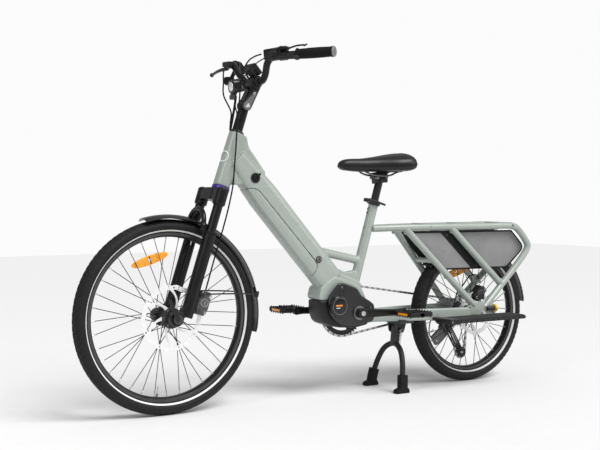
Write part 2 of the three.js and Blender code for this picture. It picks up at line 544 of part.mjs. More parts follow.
// Closed line of the chain: the tangents between the circles and the arcs round them.
function beltLine(circles) {
  const runs = circles.map((a, i) => {
    const b = circles[(i + 1) % circles.length];
    const dx = b.at[0] - a.at[0];
    const dz = b.at[1] - a.at[1];
    const swing = Math.asin((a.turn * a.r - b.turn * b.r) / Math.hypot(dx, dz));
    const normal = Math.atan2(dz, dx) + Math.PI / 2 - swing;
    const n = [Math.cos(normal), Math.sin(normal)];
    return {
      leave: [a.at[0] + n[0] * a.r * a.turn, a.at[1] + n[1] * a.r * a.turn],
      arrive: [b.at[0] + n[0] * b.r * b.turn, b.at[1] + n[1] * b.r * b.turn],
    };
  });
  return circles.flatMap((c, i) => {
    const { arrive } = runs.at(i - 1);
    const { leave } = runs[i];
    const start = Math.atan2(arrive[1] - c.at[1], arrive[0] - c.at[0]);
    let end = Math.atan2(leave[1] - c.at[1], leave[0] - c.at[0]);
    if (c.turn > 0 && end > start) end -= 2 * Math.PI;
    if (c.turn < 0 && end < start) end += 2 * Math.PI;
    const steps = Math.max(2, Math.ceil(Math.abs(end - start) / 0.24));
    return Array.from({ length: steps + 1 }, (_, k) => {
      const angle = start + ((end - start) * k) / steps;
      return [c.at[0] + c.r * Math.cos(angle), c.at[1] + c.r * Math.sin(angle)];
    });
  });
}
{
  const line = beltLine(chainCircles);
  const offset = (amount) => line.map((p, i) => {
    const a = line.at(i - 1);
    const b = line[(i + 1) % line.length];
    const length = Math.hypot(b[0] - a[0], b[1] - a[1]);
    return new THREE.Vector2(p[0] - ((b[1] - a[1]) / length) * amount, p[1] + ((b[0] - a[0]) / length) * amount);
  });
  const loop = new THREE.Shape(offset(4.4));
  loop.holes.push(new THREE.Path(offset(-4.4).toReversed()));
  add('chain', plate(loop, chainLine - 3.3, chainLine + 3.3), steel());

  // Five cogs shown of the block, the chain on the middle one.
  const cogs = [[31, 58.4], [cogRadius - 9.4, 53.6], [cogRadius - 5.2, chainLine + 1.2], [50, 41.2], [58, 36.2]];
  const sprockets = cogs.map(([r, y]) => turned([[22, y - 2.2], [r, y - 2.2], [r, y], [22, y]], 18));
  const body = turned([[14.6, 33], [25, 33], [25, 60], [14.6, 60]], 14);
  add('cassette', at(join(body, ...sprockets), rearAxle), steel());

  const jockey = ([x, z]) => turned([[4.3, chainLine - 2], [jockeyRadius - 5.2, chainLine - 2],
    [jockeyRadius - 5.2, chainLine + 2], [4.3, chainLine + 2]], 16).translate(x, 0, z);
  add('jockey_upper', jockey(guideJockey), black());
  add('jockey_lower', jockey(tensionJockey), black());
  const cagePlate = (y0, y1) => bar(V(guideJockey[0], (y0 + y1) / 2, guideJockey[1]),
    V(tensionJockey[0], (y0 + y1) / 2, tensionJockey[1]), y1 - y0, 26, 0, V(0, 1, 0));
  const ends = [guideJockey, tensionJockey].flatMap(([x, z]) => [crossRod(x, z, 13, 53, 56, 16),
    crossRod(x, z, 13, 38, 41, 16), crossRod(x, z, 4, 38.5, 56, 12)]);
  add('derailleur_cage', join(cagePlate(53, 56), cagePlate(38, 41), ...ends), black());
  const hanger = box(1222, 1248, 84, 94, 205, 245.6);
  const knuckle = crossRod(1232, 208, 16, 72, 98, 18);
  const links = bar(V(1232, 84, 208), V(cagePivot[0], 78, cagePivot[1]), 24, 20, 4);
  const outerLink = bar(V(1200, 88, 186), V(1150, 84, 152), 24, 26, 5);
  const lowKnuckle = crossRod(...cagePivot, 17, 56.6, 92, 18);
  add('derailleur_body', join(hanger, knuckle, links, outerLink, lowKnuckle), plastic());
}

// ---------------------------------------------------------------- rear brake, hoses and cables
{
  const body = bar(V(1230, -52, 316), V(1266, -52, 352), 34, 36, 5, V(0, 1, 0));
  const slot = turned([[0, -54.2], [rearWheel.rotor + 4, -54.2], [rearWheel.rotor + 4, -47.6], [0, -47.6]], 36);
  const post = box(1236, 1262, -79.7, -60, 312, 334);
  add('rear_caliper', cut(join(body, post), at(slot, rearAxle)), black());

  const asPoints = (run) => run.map((p) => V(...p));
  const hose = (name, points, radius, steps) =>
    add(name, bent(points, radius, 6, steps), rubber());
  hose('front_brake_hose', asPoints(frontHose), 2.5, 22);
  hose('control_loom', controlLoom.map((p) => fromSteering(...p)), 4, 10);
  hose('rear_hose_tail', asPoints(rearHose), 2.5, 14);
  hose('shift_cable_tail', asPoints(shiftCable), 2.2, 9);
}

// ---------------------------------------------------------------- stem and handlebar
{
  const pivot = fromSteering(0, 0, stemPivotAlong);
  const along = (z) => V(0, 0, z);
  const across = (y) => V(0, y, stemPivotAlong);
  const tube = rod(along(206.3), along(274), 17.5, 20);
  const tongue = rod(across(-10), across(10), 17, 20);
  const neck = bar(along(270), along(stemPivotAlong), 30, 20, 2, V(1, 0, 0));
  const steererBore = rod(along(190), along(264), steererRadius + gap, 16);
  add('stem_riser', cut(join(tube, tongue, neck), rod(across(-40), across(40), 5.3, 14), steererBore), black(), steering);

  const [bx, bz] = barCentre;
  const toBar = V(bx - pivot.x, 0, bz - pivot.z).normalize();
  const arm = bar(pivot, V(bx, 0, bz).addScaledVector(toBar, -14), 30, 40, 6, V(1, 0, 0));
  const cheeks = crossRod(pivot.x, pivot.z, 17, -20, 20, 16);
  const slot = crossRod(pivot.x, pivot.z, 18.6, -10.4, 10.4, 16);
  const clamp = crossRod(bx, bz, 20, -22, 22, 18);
  const barHole = crossRod(bx, bz, 15.9 + gap, -60, 60, 18);
  const pin = crossRod(pivot.x, pivot.z, 5, -19, 19, 14);
  add('stem_arm', join(cut(join(arm, cheeks, clamp), slot, barHole), pin), black());

  const middle = crossRod(bx, bz, 15.9, -34, 34, 18);
  const half = [V(bx, -20, bz), V(325, -48, 1079), V(319, -78, 1097), V(310, -110, 1132), V(316, -132, 1147),
    V(338, -165, 1151), V(366, -200, 1152.6)];
  const halfOf = (side) => (side < 0 ? half : mirrored(half));
  const endOf = (side, radius) => rod(V(357, side * 188, 1152.2), V(437, side * (barEnd - 9), 1154.3), radius, 8);
  add('handlebar', join(middle, bent(half, barRadius, 8, 12), bent(mirrored(half), barRadius, 8, 12),
    endOf(-1, barRadius), endOf(1, barRadius)), black());
  for (const [side, name] of [[-1, 'left'], [1, 'right']]) {
    const sleeve = rod(V(366, side * 200, 1152.6), V(440.5, side * (barEnd - 3), 1154.4), 16.5, 16);
    add(`grip_${name}`, cut(sleeve, endOf(side, barRadius + 1.2), bent(halfOf(side), barRadius + 1.2, 8, 12)), rubber());

    // Brake reservoir and clamp inboard of the grip, with the lever's ear ahead of it.
    const hold = rod(V(330, side * 152, 1150.2), V(345, side * 175, 1151.4), 17, 16);
    const tank = side < 0 ? box(301, 357, -166, -116, 1143.4, 1171) : box(284, 308, 116, 150.5, 1136, 1158);
    const ear = box(288, 330, Math.min(side * 150, side * 168), Math.max(side * 150, side * 168), 1143, 1160);
    const room = bent(halfOf(side), barRadius + 1.2, 8, 12);
    add(`brake_perch_${name}`, cut(join(hold, tank, ear), room), black());
    const blade = bent([V(300, side * 160, 1137), V(298, side * 190, 1136), V(300, side * 225, 1134),
      V(306, side * 262, 1131), V(309, side * 288, 1128)], 5.5, 6, 9);
    const root = rod(V(300, side * 160, 1132), V(300, side * 160, 1142.6), 9, 14);
    const knob = rod(V(309, side * 284, 1128.5), V(311, side * 297, 1127.5), 8, 12);
    add(`brake_lever_${name}`, join(blade, root, knob), black());
  }

  // Shifter pod under the right of the bar, with its thumb trigger.
  const pod = bar(V(320, 178, 1099), V(334, 200, 1099), 28, 36, 8);
  const podClamp = rod(V(352.5, 183, 1151.9), V(361, 193.4, 1152.3), 17, 16);
  const podNeck = bar(V(334, 190, 1106), V(352, 188, 1141), 12, 12, 2, V(0, 1, 0));
  const podRoom = join(bent(mirrored(half), barRadius + 1.2, 8, 12), endOf(1, barRadius + 1.2));
  add('shifter', cut(join(pod, podClamp, podNeck), podRoom), black());
  add('shift_trigger', bar(V(330, 180, 1079), V(356, 220, 1079), 8, 14, 3), black());

  // Display on two arms above the bar clamp, and the lamp hung ahead of it.
  const top = V(display.head[0], 0, display.head[1]);
  const bottom = V(display.foot[0], 0, display.foot[1]);
  const down = bottom.clone().sub(top).normalize();
  const screenNormal = V(-down.z, 0, down.x);
  const middleLow = top.clone().lerp(bottom, 0.7);
  const keyAt = (out) => middleLow.clone().addScaledVector(screenNormal, out);
  add('display', cut(bar(top, bottom, 14, 66, 4), rod(keyAt(2), keyAt(20), 6.3, 14)), gloss());
  add('mode_button', rod(keyAt(4), keyAt(9), 6, 14), rubber());
  const lamp = bar(V(233, 0, 1059), V(282, 0, 1064), 44, 48, 9);
  const foot = bar(V(243, 0, 1042), V(243, 0, 1018), 16, 20, 4, V(1, 0, 0));
  add('headlight', join(lamp, foot), black());
}

// ---------------------------------------------------------------- placing
const bounds = new THREE.Box3().setFromObject(bicycle);
const centre = bounds.getCenter(V(0, 0, 0));
bicycle.position.set(-centre.x, -centre.y, -bounds.min.z);

export default bicycle;
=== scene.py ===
"""Looks of the step-through cargo bicycle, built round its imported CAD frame.

The helpers take millimetres measured from the front hub, as the CAD layout does: +X to the rear, +Y to the rider's
right, +Z up. metres() turns them into the row frame.
"""
from bisect import bisect_right
from math import acos, asin, atan2, copysign, cos, degrees, exp, hypot, pi, radians, sin, sqrt

import bmesh
import bpy
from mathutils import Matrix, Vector
from mathutils.geometry import tessellate_polygon


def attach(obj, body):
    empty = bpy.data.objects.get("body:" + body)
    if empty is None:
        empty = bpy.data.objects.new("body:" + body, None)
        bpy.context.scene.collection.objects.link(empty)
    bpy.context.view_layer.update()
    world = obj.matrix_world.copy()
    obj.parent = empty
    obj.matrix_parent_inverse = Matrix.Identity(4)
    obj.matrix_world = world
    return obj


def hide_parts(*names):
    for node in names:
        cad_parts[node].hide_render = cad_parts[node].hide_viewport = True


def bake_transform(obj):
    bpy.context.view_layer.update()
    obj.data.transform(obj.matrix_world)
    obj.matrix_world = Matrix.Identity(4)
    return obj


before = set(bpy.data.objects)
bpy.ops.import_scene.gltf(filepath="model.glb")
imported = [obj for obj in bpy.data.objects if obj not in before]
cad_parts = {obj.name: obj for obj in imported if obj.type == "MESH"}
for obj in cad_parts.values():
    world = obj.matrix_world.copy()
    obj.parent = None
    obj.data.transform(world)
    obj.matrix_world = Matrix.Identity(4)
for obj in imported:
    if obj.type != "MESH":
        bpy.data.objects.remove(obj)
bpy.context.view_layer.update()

HUB_SHIFT = 601.0009  # front hub ahead of the row's origin
TAU = 2 * pi
SIDES = ((-1, "left"), (1, "right"))
LEFT, RIGHT, UP, BACK = (0, -1, 0), (0, 1, 0), (0, 0, 1), (1, 0, 0)
HEAD_TILT = radians(18)
# Centres in the side view, as (x, z).
CROWN = (192.8, 719.0)  # foot of the head tube on the steering axis
FRONT_HUB = (0.0, 313.0)
REAR_HUB = (1243.0, 259.0)
CRANK = (707, 291)
GUIDE_JOCKEY, TENSION_JOCKEY = (1163, 243), (1252, 100)
CRANK_LENGTH, CHAIN_PITCH, CHAIN_Y = 170, 12.7, 47
PORT, LOCK = (304.3, 758.7), (552.8, 481.4)  # the charge port and the battery's key, on the left
STEM_PIVOT = (283.3, 997.7)


def metres(p):
    return ((p[0] - HUB_SHIFT) / 1000, p[1] / 1000, p[2] / 1000)


def steer(x, y, z):
    """A point given in the steering frame: z runs up the steering axis, -x is ahead of it."""
    c, s = cos(HEAD_TILT), sin(HEAD_TILT)
    return (CROWN[0] + x * c + z * s, y, CROWN[1] - x * s + z * c)


HEAD_AXIS = (Vector(steer(0, 0, 1)) - Vector(steer(0, 0, 0))).normalized()


def at(centre, y=0):
    """A side-view centre as a point at width y."""
    return (centre[0], y, centre[1])


def span(side, a, b):
    """Two widths on one side of the bicycle, the lower y first."""
    return sorted((side * a, side * b))


def new_object(name, data):
    made = bpy.data.objects.new(name, data)
    bpy.context.scene.collection.objects.link(made)
    return made


def aimed(made, along):
    made.rotation_mode = "QUATERNION"
    made.rotation_quaternion = along.to_track_quat("-Z", "Y")


# ---- camera
CAMERA_AT = Vector((-2.0332, -3.148, 0.7037))
CAMERA_TURN = radians(31.54)
CAMERA_PITCH = radians(1.613)

camera = new_object("camera", bpy.data.cameras.new("camera"))
bpy.context.scene.camera = camera
camera.data.lens = 64.63
camera.data.sensor_width = 36
camera.location = CAMERA_AT
forward = Vector((sin(CAMERA_TURN) * cos(CAMERA_PITCH), cos(CAMERA_TURN) * cos(CAMERA_PITCH),
                  -sin(CAMERA_PITCH)))
aimed(camera, forward)


# ---- materials
class Nodes:
    """A material's node tree with short calls to add and link nodes."""

    def __init__(self, name):
        self.material = bpy.data.materials.new(name)
        self.material.use_nodes = True
        self.tree = self.material.node_tree
        self.shader = self.tree.nodes["Principled BSDF"]

    def node(self, kind, **values):
        made = self.tree.nodes.new(kind)
        for key, value in values.items():
            if key in made.inputs:
                made.inputs[key].default_value = value
            else:
                setattr(made, key.lower(), value)
        return made

    def link(self, source, target):
        self.tree.links.new(source, target)

    def coordinates(self, stretch):
        place = self.node("ShaderNodeMapping")
        place.inputs["Scale"].default_value = stretch
        self.link(self.node("ShaderNodeTexCoord").outputs["Object"], place.inputs["Vector"])
        return place.outputs["Vector"]

    def noise(self, vector, scale, detail):
        made = self.node("ShaderNodeTexNoise", Scale=scale, Detail=detail)
        self.link(vector, made.inputs["Vector"])
        return made.outputs["Fac"]

    def ramp(self, value, stops):
        made = self.node("ShaderNodeValToRGB")
        while len(made.color_ramp.elements) < len(stops):
            made.color_ramp.elements.new(0.5)
        for element, (place, colour) in zip(made.color_ramp.elements, stops):
            element.position = place
            element.color = (*colour, 1)
        self.link(value, made.inputs["Fac"])
        return made.outputs["Color"]

    def bump(self, height, strength):
        made = self.node("ShaderNodeBump", Strength=strength, Distance=0.0004)
        self.link(height, made.inputs["Height"])
        self.link(made.outputs["Normal"], self.shader.inputs["Normal"])


def finish_of(name, colour, rough, metal, grain, bump, vary, coat=0.0, stretch=(1, 1, 1), edge=0.0, voronoi=0.0,
              shine=0.5):
    """Principled material: blotches in colour and roughness, a fine grain or cells, and lighter edges that are part
    wear, part painted highlight.
    """
    n = Nodes(name)
    shader = n.shader
    shader.inputs["Metallic"].default_value = metal
    shader.inputs["Coat Weight"].default_value = coat
    shader.inputs["Coat Roughness"].default_value = 0.12
    shader.inputs["Specular IOR Level"].default_value = shine
    vector = n.coordinates(stretch)
    blotches = n.noise(vector, 22, 5)
    dark = tuple(c * (1 - vary) for c in colour)
    light = tuple(min(1, c * (1 + vary)) for c in colour)
    base = n.ramp(blotches, [(0.32, dark), (0.68, light)])
    # edge lightens the colour along sharp edges found by pointiness: partly wear, partly a painted highlight where
    # light would catch them.
    if edge:
        point = n.node("ShaderNodeNewGeometry").outputs["Pointiness"]
        edge_wear_and_highlight = n.ramp(point, [(0.515, (0, 0, 0)), (0.575, (1, 1, 1))])
        mix = n.node("ShaderNodeMix", data_type="RGBA")
        n.link(edge_wear_and_highlight, mix.inputs["Factor"])
        n.link(base, mix.inputs[6])
        mix.inputs[7].default_value = (*[min(1, c + edge) for c in colour], 1)
        base = mix.outputs[2]
    n.link(base, shader.inputs["Base Color"])
    spread = n.node("ShaderNodeMapRange")
    spread.inputs["To Min"].default_value = max(0.02, rough - 0.06)
    spread.inputs["To Max"].default_value = min(1, rough + 0.06)
    n.link(blotches, spread.inputs["Value"])
    n.link(spread.outputs["Result"], shader.inputs["Roughness"])
    if voronoi:
        cells = n.node("ShaderNodeTexVoronoi", Scale=voronoi)
        n.link(vector, cells.inputs["Vector"])
        n.bump(cells.outputs["Distance"], bump)
    else:
        n.bump(n.noise(vector, grain, 2), bump)
    return n.material


# The edge values lighten sharp edges by that much: partly wear, partly painted highlight.
PAINT = finish_of("sage_paint", (0.345, 0.385, 0.352), 0.36, 0.1, 2600, 0.04, 0.03, coat=0.25, edge=0.008)
BLACK = finish_of("satin_black", (0.006, 0.006, 0.0064), 0.3, 0.0, 2400, 0.06, 0.2, coat=0.05, edge=0.02, shine=0.25)
CAST = finish_of("cast_black", (0.008, 0.008, 0.009), 0.4, 0.0, 3200, 0.14, 0.2, edge=0.04, shine=0.3)
GLOSS = finish_of("gloss_black", (0.004, 0.004, 0.0045), 0.16, 0.0, 900, 0.015, 0.2, coat=0.25, edge=0.02, shine=0.3)
PLASTIC = finish_of("grained_plastic", (0.007, 0.007, 0.0075), 0.5, 0.0, 3500, 0.22, 0.15, edge=0.025, shine=0.2)
GREY_PLASTIC = finish_of("grey_plastic", (0.013, 0.013, 0.014), 0.27, 0.0, 3200, 0.1, 0.1, coat=0.15, edge=0.06,
                         shine=0.4)
MID_GREY = finish_of("mid_grey_plastic", (0.16, 0.16, 0.165), 0.42, 0.0, 3200, 0.18, 0.08, edge=0.06)
RUBBER = finish_of("rubber", (0.007, 0.007, 0.007), 0.7, 0.0, 2400, 0.3, 0.25, shine=0.2)
TYRE = finish_of("tyre_rubber", (0.008, 0.008, 0.008), 0.6, 0.0, 1700, 0.35, 0.3, edge=0.012, shine=0.28)
STRIP = finish_of("pale_strip", (0.82, 0.82, 0.8), 0.45, 0.0, 1800, 0.1, 0.05)
STEEL = finish_of("brushed_steel", (0.62, 0.62, 0.63), 0.3, 0.95, 5200, 0.12, 0.12, stretch=(1, 6, 1))
DARK_STEEL = finish_of("dark_steel", (0.1, 0.1, 0.105), 0.34, 0.85, 4200, 0.12, 0.3, edge=0.2)
ROTOR = finish_of("rotor_steel", (0.86, 0.86, 0.87), 0.4, 0.25, 5200, 0.15, 0.06, stretch=(1, 5, 1))
RIM_BAND = finish_of("rim_band", (0.06, 0.06, 0.062), 0.32, 0.5, 4200, 0.1, 0.15)
PANEL = finish_of("panel_grey", (0.24, 0.24, 0.242), 0.62, 0.0, 3000, 0.22, 0.06, shine=0.2)
TREAD_PAD = finish_of("deck_tread", (0.04, 0.04, 0.04), 0.7, 0.0, 2200, 0.4, 0.15, shine=0.2)
COVER = finish_of("saddle_cover", (0.007, 0.007, 0.0075), 0.36, 0.0, 0, 0.2, 0.15, voronoi=1500, shine=0.4)
THREAD = finish_of("thread", (0.05, 0.05, 0.05), 0.8, 0.0, 4000, 0.3, 0.2)
AMBER = finish_of("amber_reflector", (0.95, 0.36, 0.004), 0.2, 0.0, 0, 0.5, 0.12, coat=0.6, voronoi=420)
VIOLET = finish_of("violet_anodised", (0.1, 0.06, 0.42), 0.3, 0.7, 3000, 0.06, 0.12)
ORANGE = finish_of("orange_mark", (0.8, 0.24, 0.01), 0.45, 0.0, 2600, 0.05, 0.05)
WHITE = finish_of("white_mark", (0.85, 0.86, 0.85), 0.4, 0.0, 2600, 0.05, 0.03)
GOLD = finish_of("dust_cap", (0.8, 0.52, 0.02), 0.35, 0.2, 2600, 0.08, 0.12)
GLASS = finish_of("screen_glass", (0.006, 0.007, 0.008), 0.06, 0.0, 800, 0.01, 0.2, coat=0.8)
LENS = finish_of("lamp_lens", (0.75, 0.77, 0.8), 0.1, 0.35, 0, 0.5, 0.06, coat=1.0, voronoi=900)


# ---- mesh helpers
def smooth_path(points, per=8):
    """Centripetal Catmull-Rom through the points, per steps for each span."""
    p = [Vector(q) for q in points]
    if len(p) == 2:
        return p
    p = [p[0] * 2 - p[1], *p, p[-1] * 2 - p[-2]]
    path = []
    for i in range(1, len(p) - 2):
        knots = [0.0]
        for k in range(3):
            knots.append(knots[-1] + sqrt((p[i + k] - p[i + k - 1]).length))
        for s in range(per):
            t = knots[1] + (knots[2] - knots[1]) * s / per
            a = [p[i - 1 + k].lerp(p[i + k], (t - knots[k]) / (knots[k + 1] - knots[k])) for k in range(3)]
            b = [a[k].lerp(a[k + 1], (t - knots[k]) / (knots[k + 2] - knots[k])) for k in range(2)]
            path.append(b[0].lerp(b[1], (t - knots[1]) / (knots[2] - knots[1])))
    path.append(p[-2])
    return path


def rounded(points, steps):
    """Closed outline through [x, z, setback] corners, each rounded by a quadratic curve."""
    out = []
    count = len(points)
    for i, corner in enumerate(points):
        here = Vector(corner[:2])
        r = corner[2] if len(corner) > 2 else 0
        if not r:
            out.append(tuple(here))
            continue
        start = here + (Vector(points[i - 1][:2]) - here).normalized() * r
        end = here + (Vector(points[(i + 1) % count][:2]) - here).normalized() * r
        for s in range(steps + 1):
            t = s / steps
            out.append(tuple(start * (1 - t) ** 2 + here * (2 * t * (1 - t)) + end * t * t))
    return out


def oblong(x0, z0, x1, z1, setback, steps):
    """Rectangle between two corners, with rounded corners."""
    return rounded([(x0, z0, setback), (x1, z0, setback), (x1, z1, setback), (x0, z1, setback)], steps)


def polar(x, z, r, angle):
    return (x + r * cos(angle), z + r * sin(angle))


def ring_outline(x, z, r, steps=24):
    return [polar(x, z, r, TAU * i / steps) for i in range(steps)]


def hole_circle(x, z, r, count, size):
    """Round holes spaced evenly on a circle."""
    return [ring_outline(*polar(x, z, r, TAU * k / count), size, 10) for k in range(count)]


def squircle(w, h, power_w=1, power_h=1, count=20):
    """Closed outline: an ellipse at powers of 1, nearer a rectangle at lower ones."""
    turns = [TAU * k / count for k in range(count)]
    return [(copysign(abs(cos(a)) ** power_w, cos(a)) * w, copysign(abs(sin(a)) ** power_h, sin(a)) * h)
            for a in turns]


def slot_outline(a, b, ra, rb=None, steps=8):
    """Outline round two circles, such as a link or a crank."""
    rb = ra if rb is None else rb
    turn = atan2(b[1] - a[1], b[0] - a[0])
    far = [polar(*b, rb, turn - pi / 2 + pi * i / steps) for i in range(steps + 1)]
    near = [polar(*a, ra, turn + pi / 2 + pi * i / steps) for i in range(steps + 1)]
    return far + near


def area_of(loop):
    return sum(a[0] * b[1] - b[0] * a[1] for a, b in zip(loop, loop[1:] + loop[:1])) / 2


def inset_of(loop, amount):
    """The loop moved towards its left side."""
    out = []
    count = len(loop)
    for i in range(count):
        a, b, c = Vector(loop[i - 1]), Vector(loop[i]), Vector(loop[(i + 1) % count])
        u, v = (b - a), (c - b)
        if u.length < 1e-6 or v.length < 1e-6:
            out.append(tuple(b))
            continue
        n1 = Vector((-u.y, u.x)).normalized()
        n2 = Vector((-v.y, v.x)).normalized()
        n = n1 + n2
        if n.length < 1e-4:
            out.append(tuple(b + n1 * amount))
            continue
        n.normalize()
        out.append(tuple(b + n * (amount / max(0.5, n.dot(n1)))))
    return out


class Build:
    """Collects lofts, tubes, turned forms and plates of one piece, in millimetres."""

    def __init__(self):
        self.verts = []
        self.faces = []
        self.mats = []

    def add(self, verts, faces, mat):
        base = len(self.verts)
        self.verts += [tuple(v) for v in verts]
        self.faces += [tuple(i + base for i in f) for f in faces]
        self.mats += mat if isinstance(mat, list) else [mat] * len(faces)

    def loft(self, rings, mat=0, closed=False, mats=None):
        """Skin over rings of equally many points. mats, where given, holds one material for each band."""
        n = len(rings[0])
        faces, kinds = [], []
        for i in range(len(rings) if closed else len(rings) - 1):
            a, b = i * n, ((i + 1) % len(rings)) * n
            for k in range(n):
                m = (k + 1) % n
                faces.append((a + k, a + m, b + m, b + k))
                kinds.append(mats[i] if mats else mat)
        if not closed:
            faces += [tuple(range(n - 1, -1, -1)), tuple(range((len(rings) - 1) * n, len(rings) * n))]
            kinds += [mats[0], mats[-1]] if mats else [mat, mat]
        self.add([p for ring in rings for p in ring], faces, kinds)

    def sweep(self, path, section, mat=0, up=RIGHT):
        """section is a list of (across, up) points, or a function from 0..1 to one; the frame turns least."""
        path = [Vector(p) for p in path]
        side = None
        rings = []
        for i, p in enumerate(path):
            along = (path[min(i + 1, len(path) - 1)] - path[max(i - 1, 0)]).normalized()
            if side is None:
                side = Vector(up).cross(along).normalized()
            side = (side - along * side.dot(along)).normalized()
            over = along.cross(side)
            shape = section(i / (len(path) - 1)) if callable(section) else section
            rings.append([p + side * a + over * b for a, b in shape])
        self.loft(rings, mat)

    def tube(self, points, r, sides, mat=0, per=8, end=None, straight=False):
        """Round tube through the points, with its ends eased over."""
        path = [Vector(p) for p in points] if straight else smooth_path(points, per)
        end = r if end is None else end
        first, last = (path[0] - path[1]).normalized(), (path[-1] - path[-2]).normalized()
        ease = min(r, end) * 0.22
        path = [path[0], path[0] - first * ease, *path[1:-1], path[-1] - last * ease, path[-1]]

        def shape(t):
            k = round(t * (len(path) - 1))
            rr = r + (end - r) * t
            if k in (0, len(path) - 1):
                rr -= ease
            return ring_outline(0, 0, rr, sides)
        self.sweep(path, shape, mat, up=(0.13, 0.97, 0.2))

    def turned(self, profile, centre, axis=RIGHT, segments=48, mat=0, closed=False, mats=None):
        """Profile of (radius, distance along the axis) points turned about the axis through centre."""
        axis = Vector(axis).normalized()
        u = axis.orthogonal().normalized()
        w = axis.cross(u)
        c = Vector(centre)
        rings = [[c + axis * a + u * (r * cos(TAU * i / segments)) + w * (r * sin(TAU * i / segments))
                  for i in range(segments)] for r, a in profile]
        self.loft(rings, mat, closed, mats)

    def rod(self, a, b, r, sides, mat=0, bevel=0.8, end=None):
        """Straight round bar with its rims eased."""
        a, b = Vector(a), Vector(b)
        length = (b - a).length
        e = r if end is None else end
        k = min(bevel, r * 0.45, e * 0.45, length * 0.3)
        profile = [(r - k, 0), (r - k * 0.3, k * 0.3), (r, k),
                   (e, length - k), (e - k * 0.3, length - k * 0.3), (e - k, length)]
        self.turned(profile, a, b - a, sides, mat)

    def plate(self, loops, y0, y1, bevel, mat=0, place=None, steps=3, top=None):
        """Plate with its outline in XZ and holes in it, from y0 to y1, its rims rounded."""
        place = place or (lambda x, y, z: (x, y, z))
        wound = []
        for i, loop in enumerate(loops):
            loop = [tuple(p) for p in loop]
            if (area_of(loop) > 0) != (i == 0):
                loop.reverse()
            wound.append(loop)
        bevel = min(bevel, (y1 - y0) * 0.48)
        rows = []
        for k in range(steps + 1):
            t = pi / 2 * k / steps
            rows.append((y0 + bevel * (1 - cos(t)), bevel * (1 - sin(t))))
        rows += [(y0 + y1 - y, d) for y, d in reversed(rows)]
        layers = [[inset_of(loop, d) if d > 1e-6 else loop for loop in wound] for _, d in rows]
        verts = [place(x, y, z) for (y, _), layer in zip(rows, layers) for loop in layer for x, z in loop]
        total = sum(len(loop) for loop in wound)
        faces = []
        for i in range(len(rows) - 1):
            start = i * total
            for size in map(len, wound):
                for k in range(size):
                    p, q = start + k, start + (k + 1) % size
                    faces.append((p, q, q + total, p + total))
                start += size
        kinds = [mat] * len(faces)
        for level, flip in ((0, False), (len(rows) - 1, True)):
            tris = tessellate_polygon([[Vector((x, z, 0)) for x, z in loop] for loop in layers[level]])
            for tri in tris:
                f = tuple(level * total + i for i in tri)
                faces.append(f[::-1] if flip else f)
                kinds.append(mat if top is None else top)
        self.add(verts, faces, kinds)

    def block(self, centre, size, bevel, mat, along=BACK, up=UP):
        """Box with rounded edges, its length along one direction and its height up another."""
        x = Vector(along).normalized()
        y = Vector(up).cross(x).normalized()
        z = x.cross(y)
        c = Vector(centre)
        l, w, h = (s / 2 for s in size)
        outline = oblong(-l, -h, l, h, bevel, 3)
        self.plate([outline], -w, w, bevel * 0.8, mat, lambda a, b, d: c + x * a + y * b + z * d)

    def bolt(self, centre, axis, r, height, mat=0):
        """Socket-head screw: a turned head with a hexagonal recess."""
        axis = Vector(axis).normalized()
        u = axis.orthogonal().normalized()
        w = axis.cross(u)
        c = Vector(centre)
        k = r * 0.2
        levels = [(r, 0), (r, height - k), (r - k, height), (r * 0.56, height), (r * 0.52, height * 0.35)]
        rings = [[c + axis * a + u * (rr * cos(TAU * i / 24)) + w * (rr * sin(TAU * i / 24)) for i in range(24)]
                 for rr, a in levels[:3]]
        for rr, a in levels[3:]:
            ring = []
            for i in range(24):
                t = TAU * i / 24
                hexed = rr / max(abs(cos((t % (pi / 3)) - pi / 6)), 0.8)
                ring.append(c + axis * a + u * (hexed * cos(t)) + w * (hexed * sin(t)))
            rings.append(ring)
        self.loft(rings, mat)


def shade(mesh, angle):
    mesh.polygons.foreach_set("use_smooth", [True] * len(mesh.polygons))
    mesh.set_sharp_from_angle(angle=radians(angle))


def tidy_mesh(mesh, angle):
    """Points merged, slivers dropped, normals outwards, edges sharper than the angle kept."""
    bm = bmesh.new()
    bm.from_mesh(mesh)
    bmesh.ops.remove_doubles(bm, verts=bm.verts, dist=1e-6)
    loose = [f for f in bm.faces if f.calc_area() < 1e-12]
    bmesh.ops.delete(bm, geom=loose, context="FACES")
    bmesh.ops.recalc_face_normals(bm, faces=bm.faces)
    bm.to_mesh(mesh)
    bm.free()
    shade(mesh, angle)


def piece(name, build, mats, body, replaces=(), angle=38):
    """Blender object of a Build, riding on its body; faces meet smoothly below the angle."""
    mesh = bpy.data.meshes.new(name)
    mesh.from_pydata([metres(v) for v in build.verts], [], build.faces)
    for m in mats if isinstance(mats, list) else [mats]:
        mesh.materials.append(m)
    mesh.polygons.foreach_set("material_index", build.mats)
    tidy_mesh(mesh, angle)
    made = new_object(name, mesh)
    if body:
        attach(made, body)
    if replaces:
        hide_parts(*replaces)
    return made


def applied(made):
    """Makes the object's modifiers part of its mesh."""
    bpy.context.view_layer.update()
    graph = bpy.context.evaluated_depsgraph_get()
    mesh = bpy.data.meshes.new_from_object(made.evaluated_get(graph))
    made.modifiers.clear()
    made.data = mesh


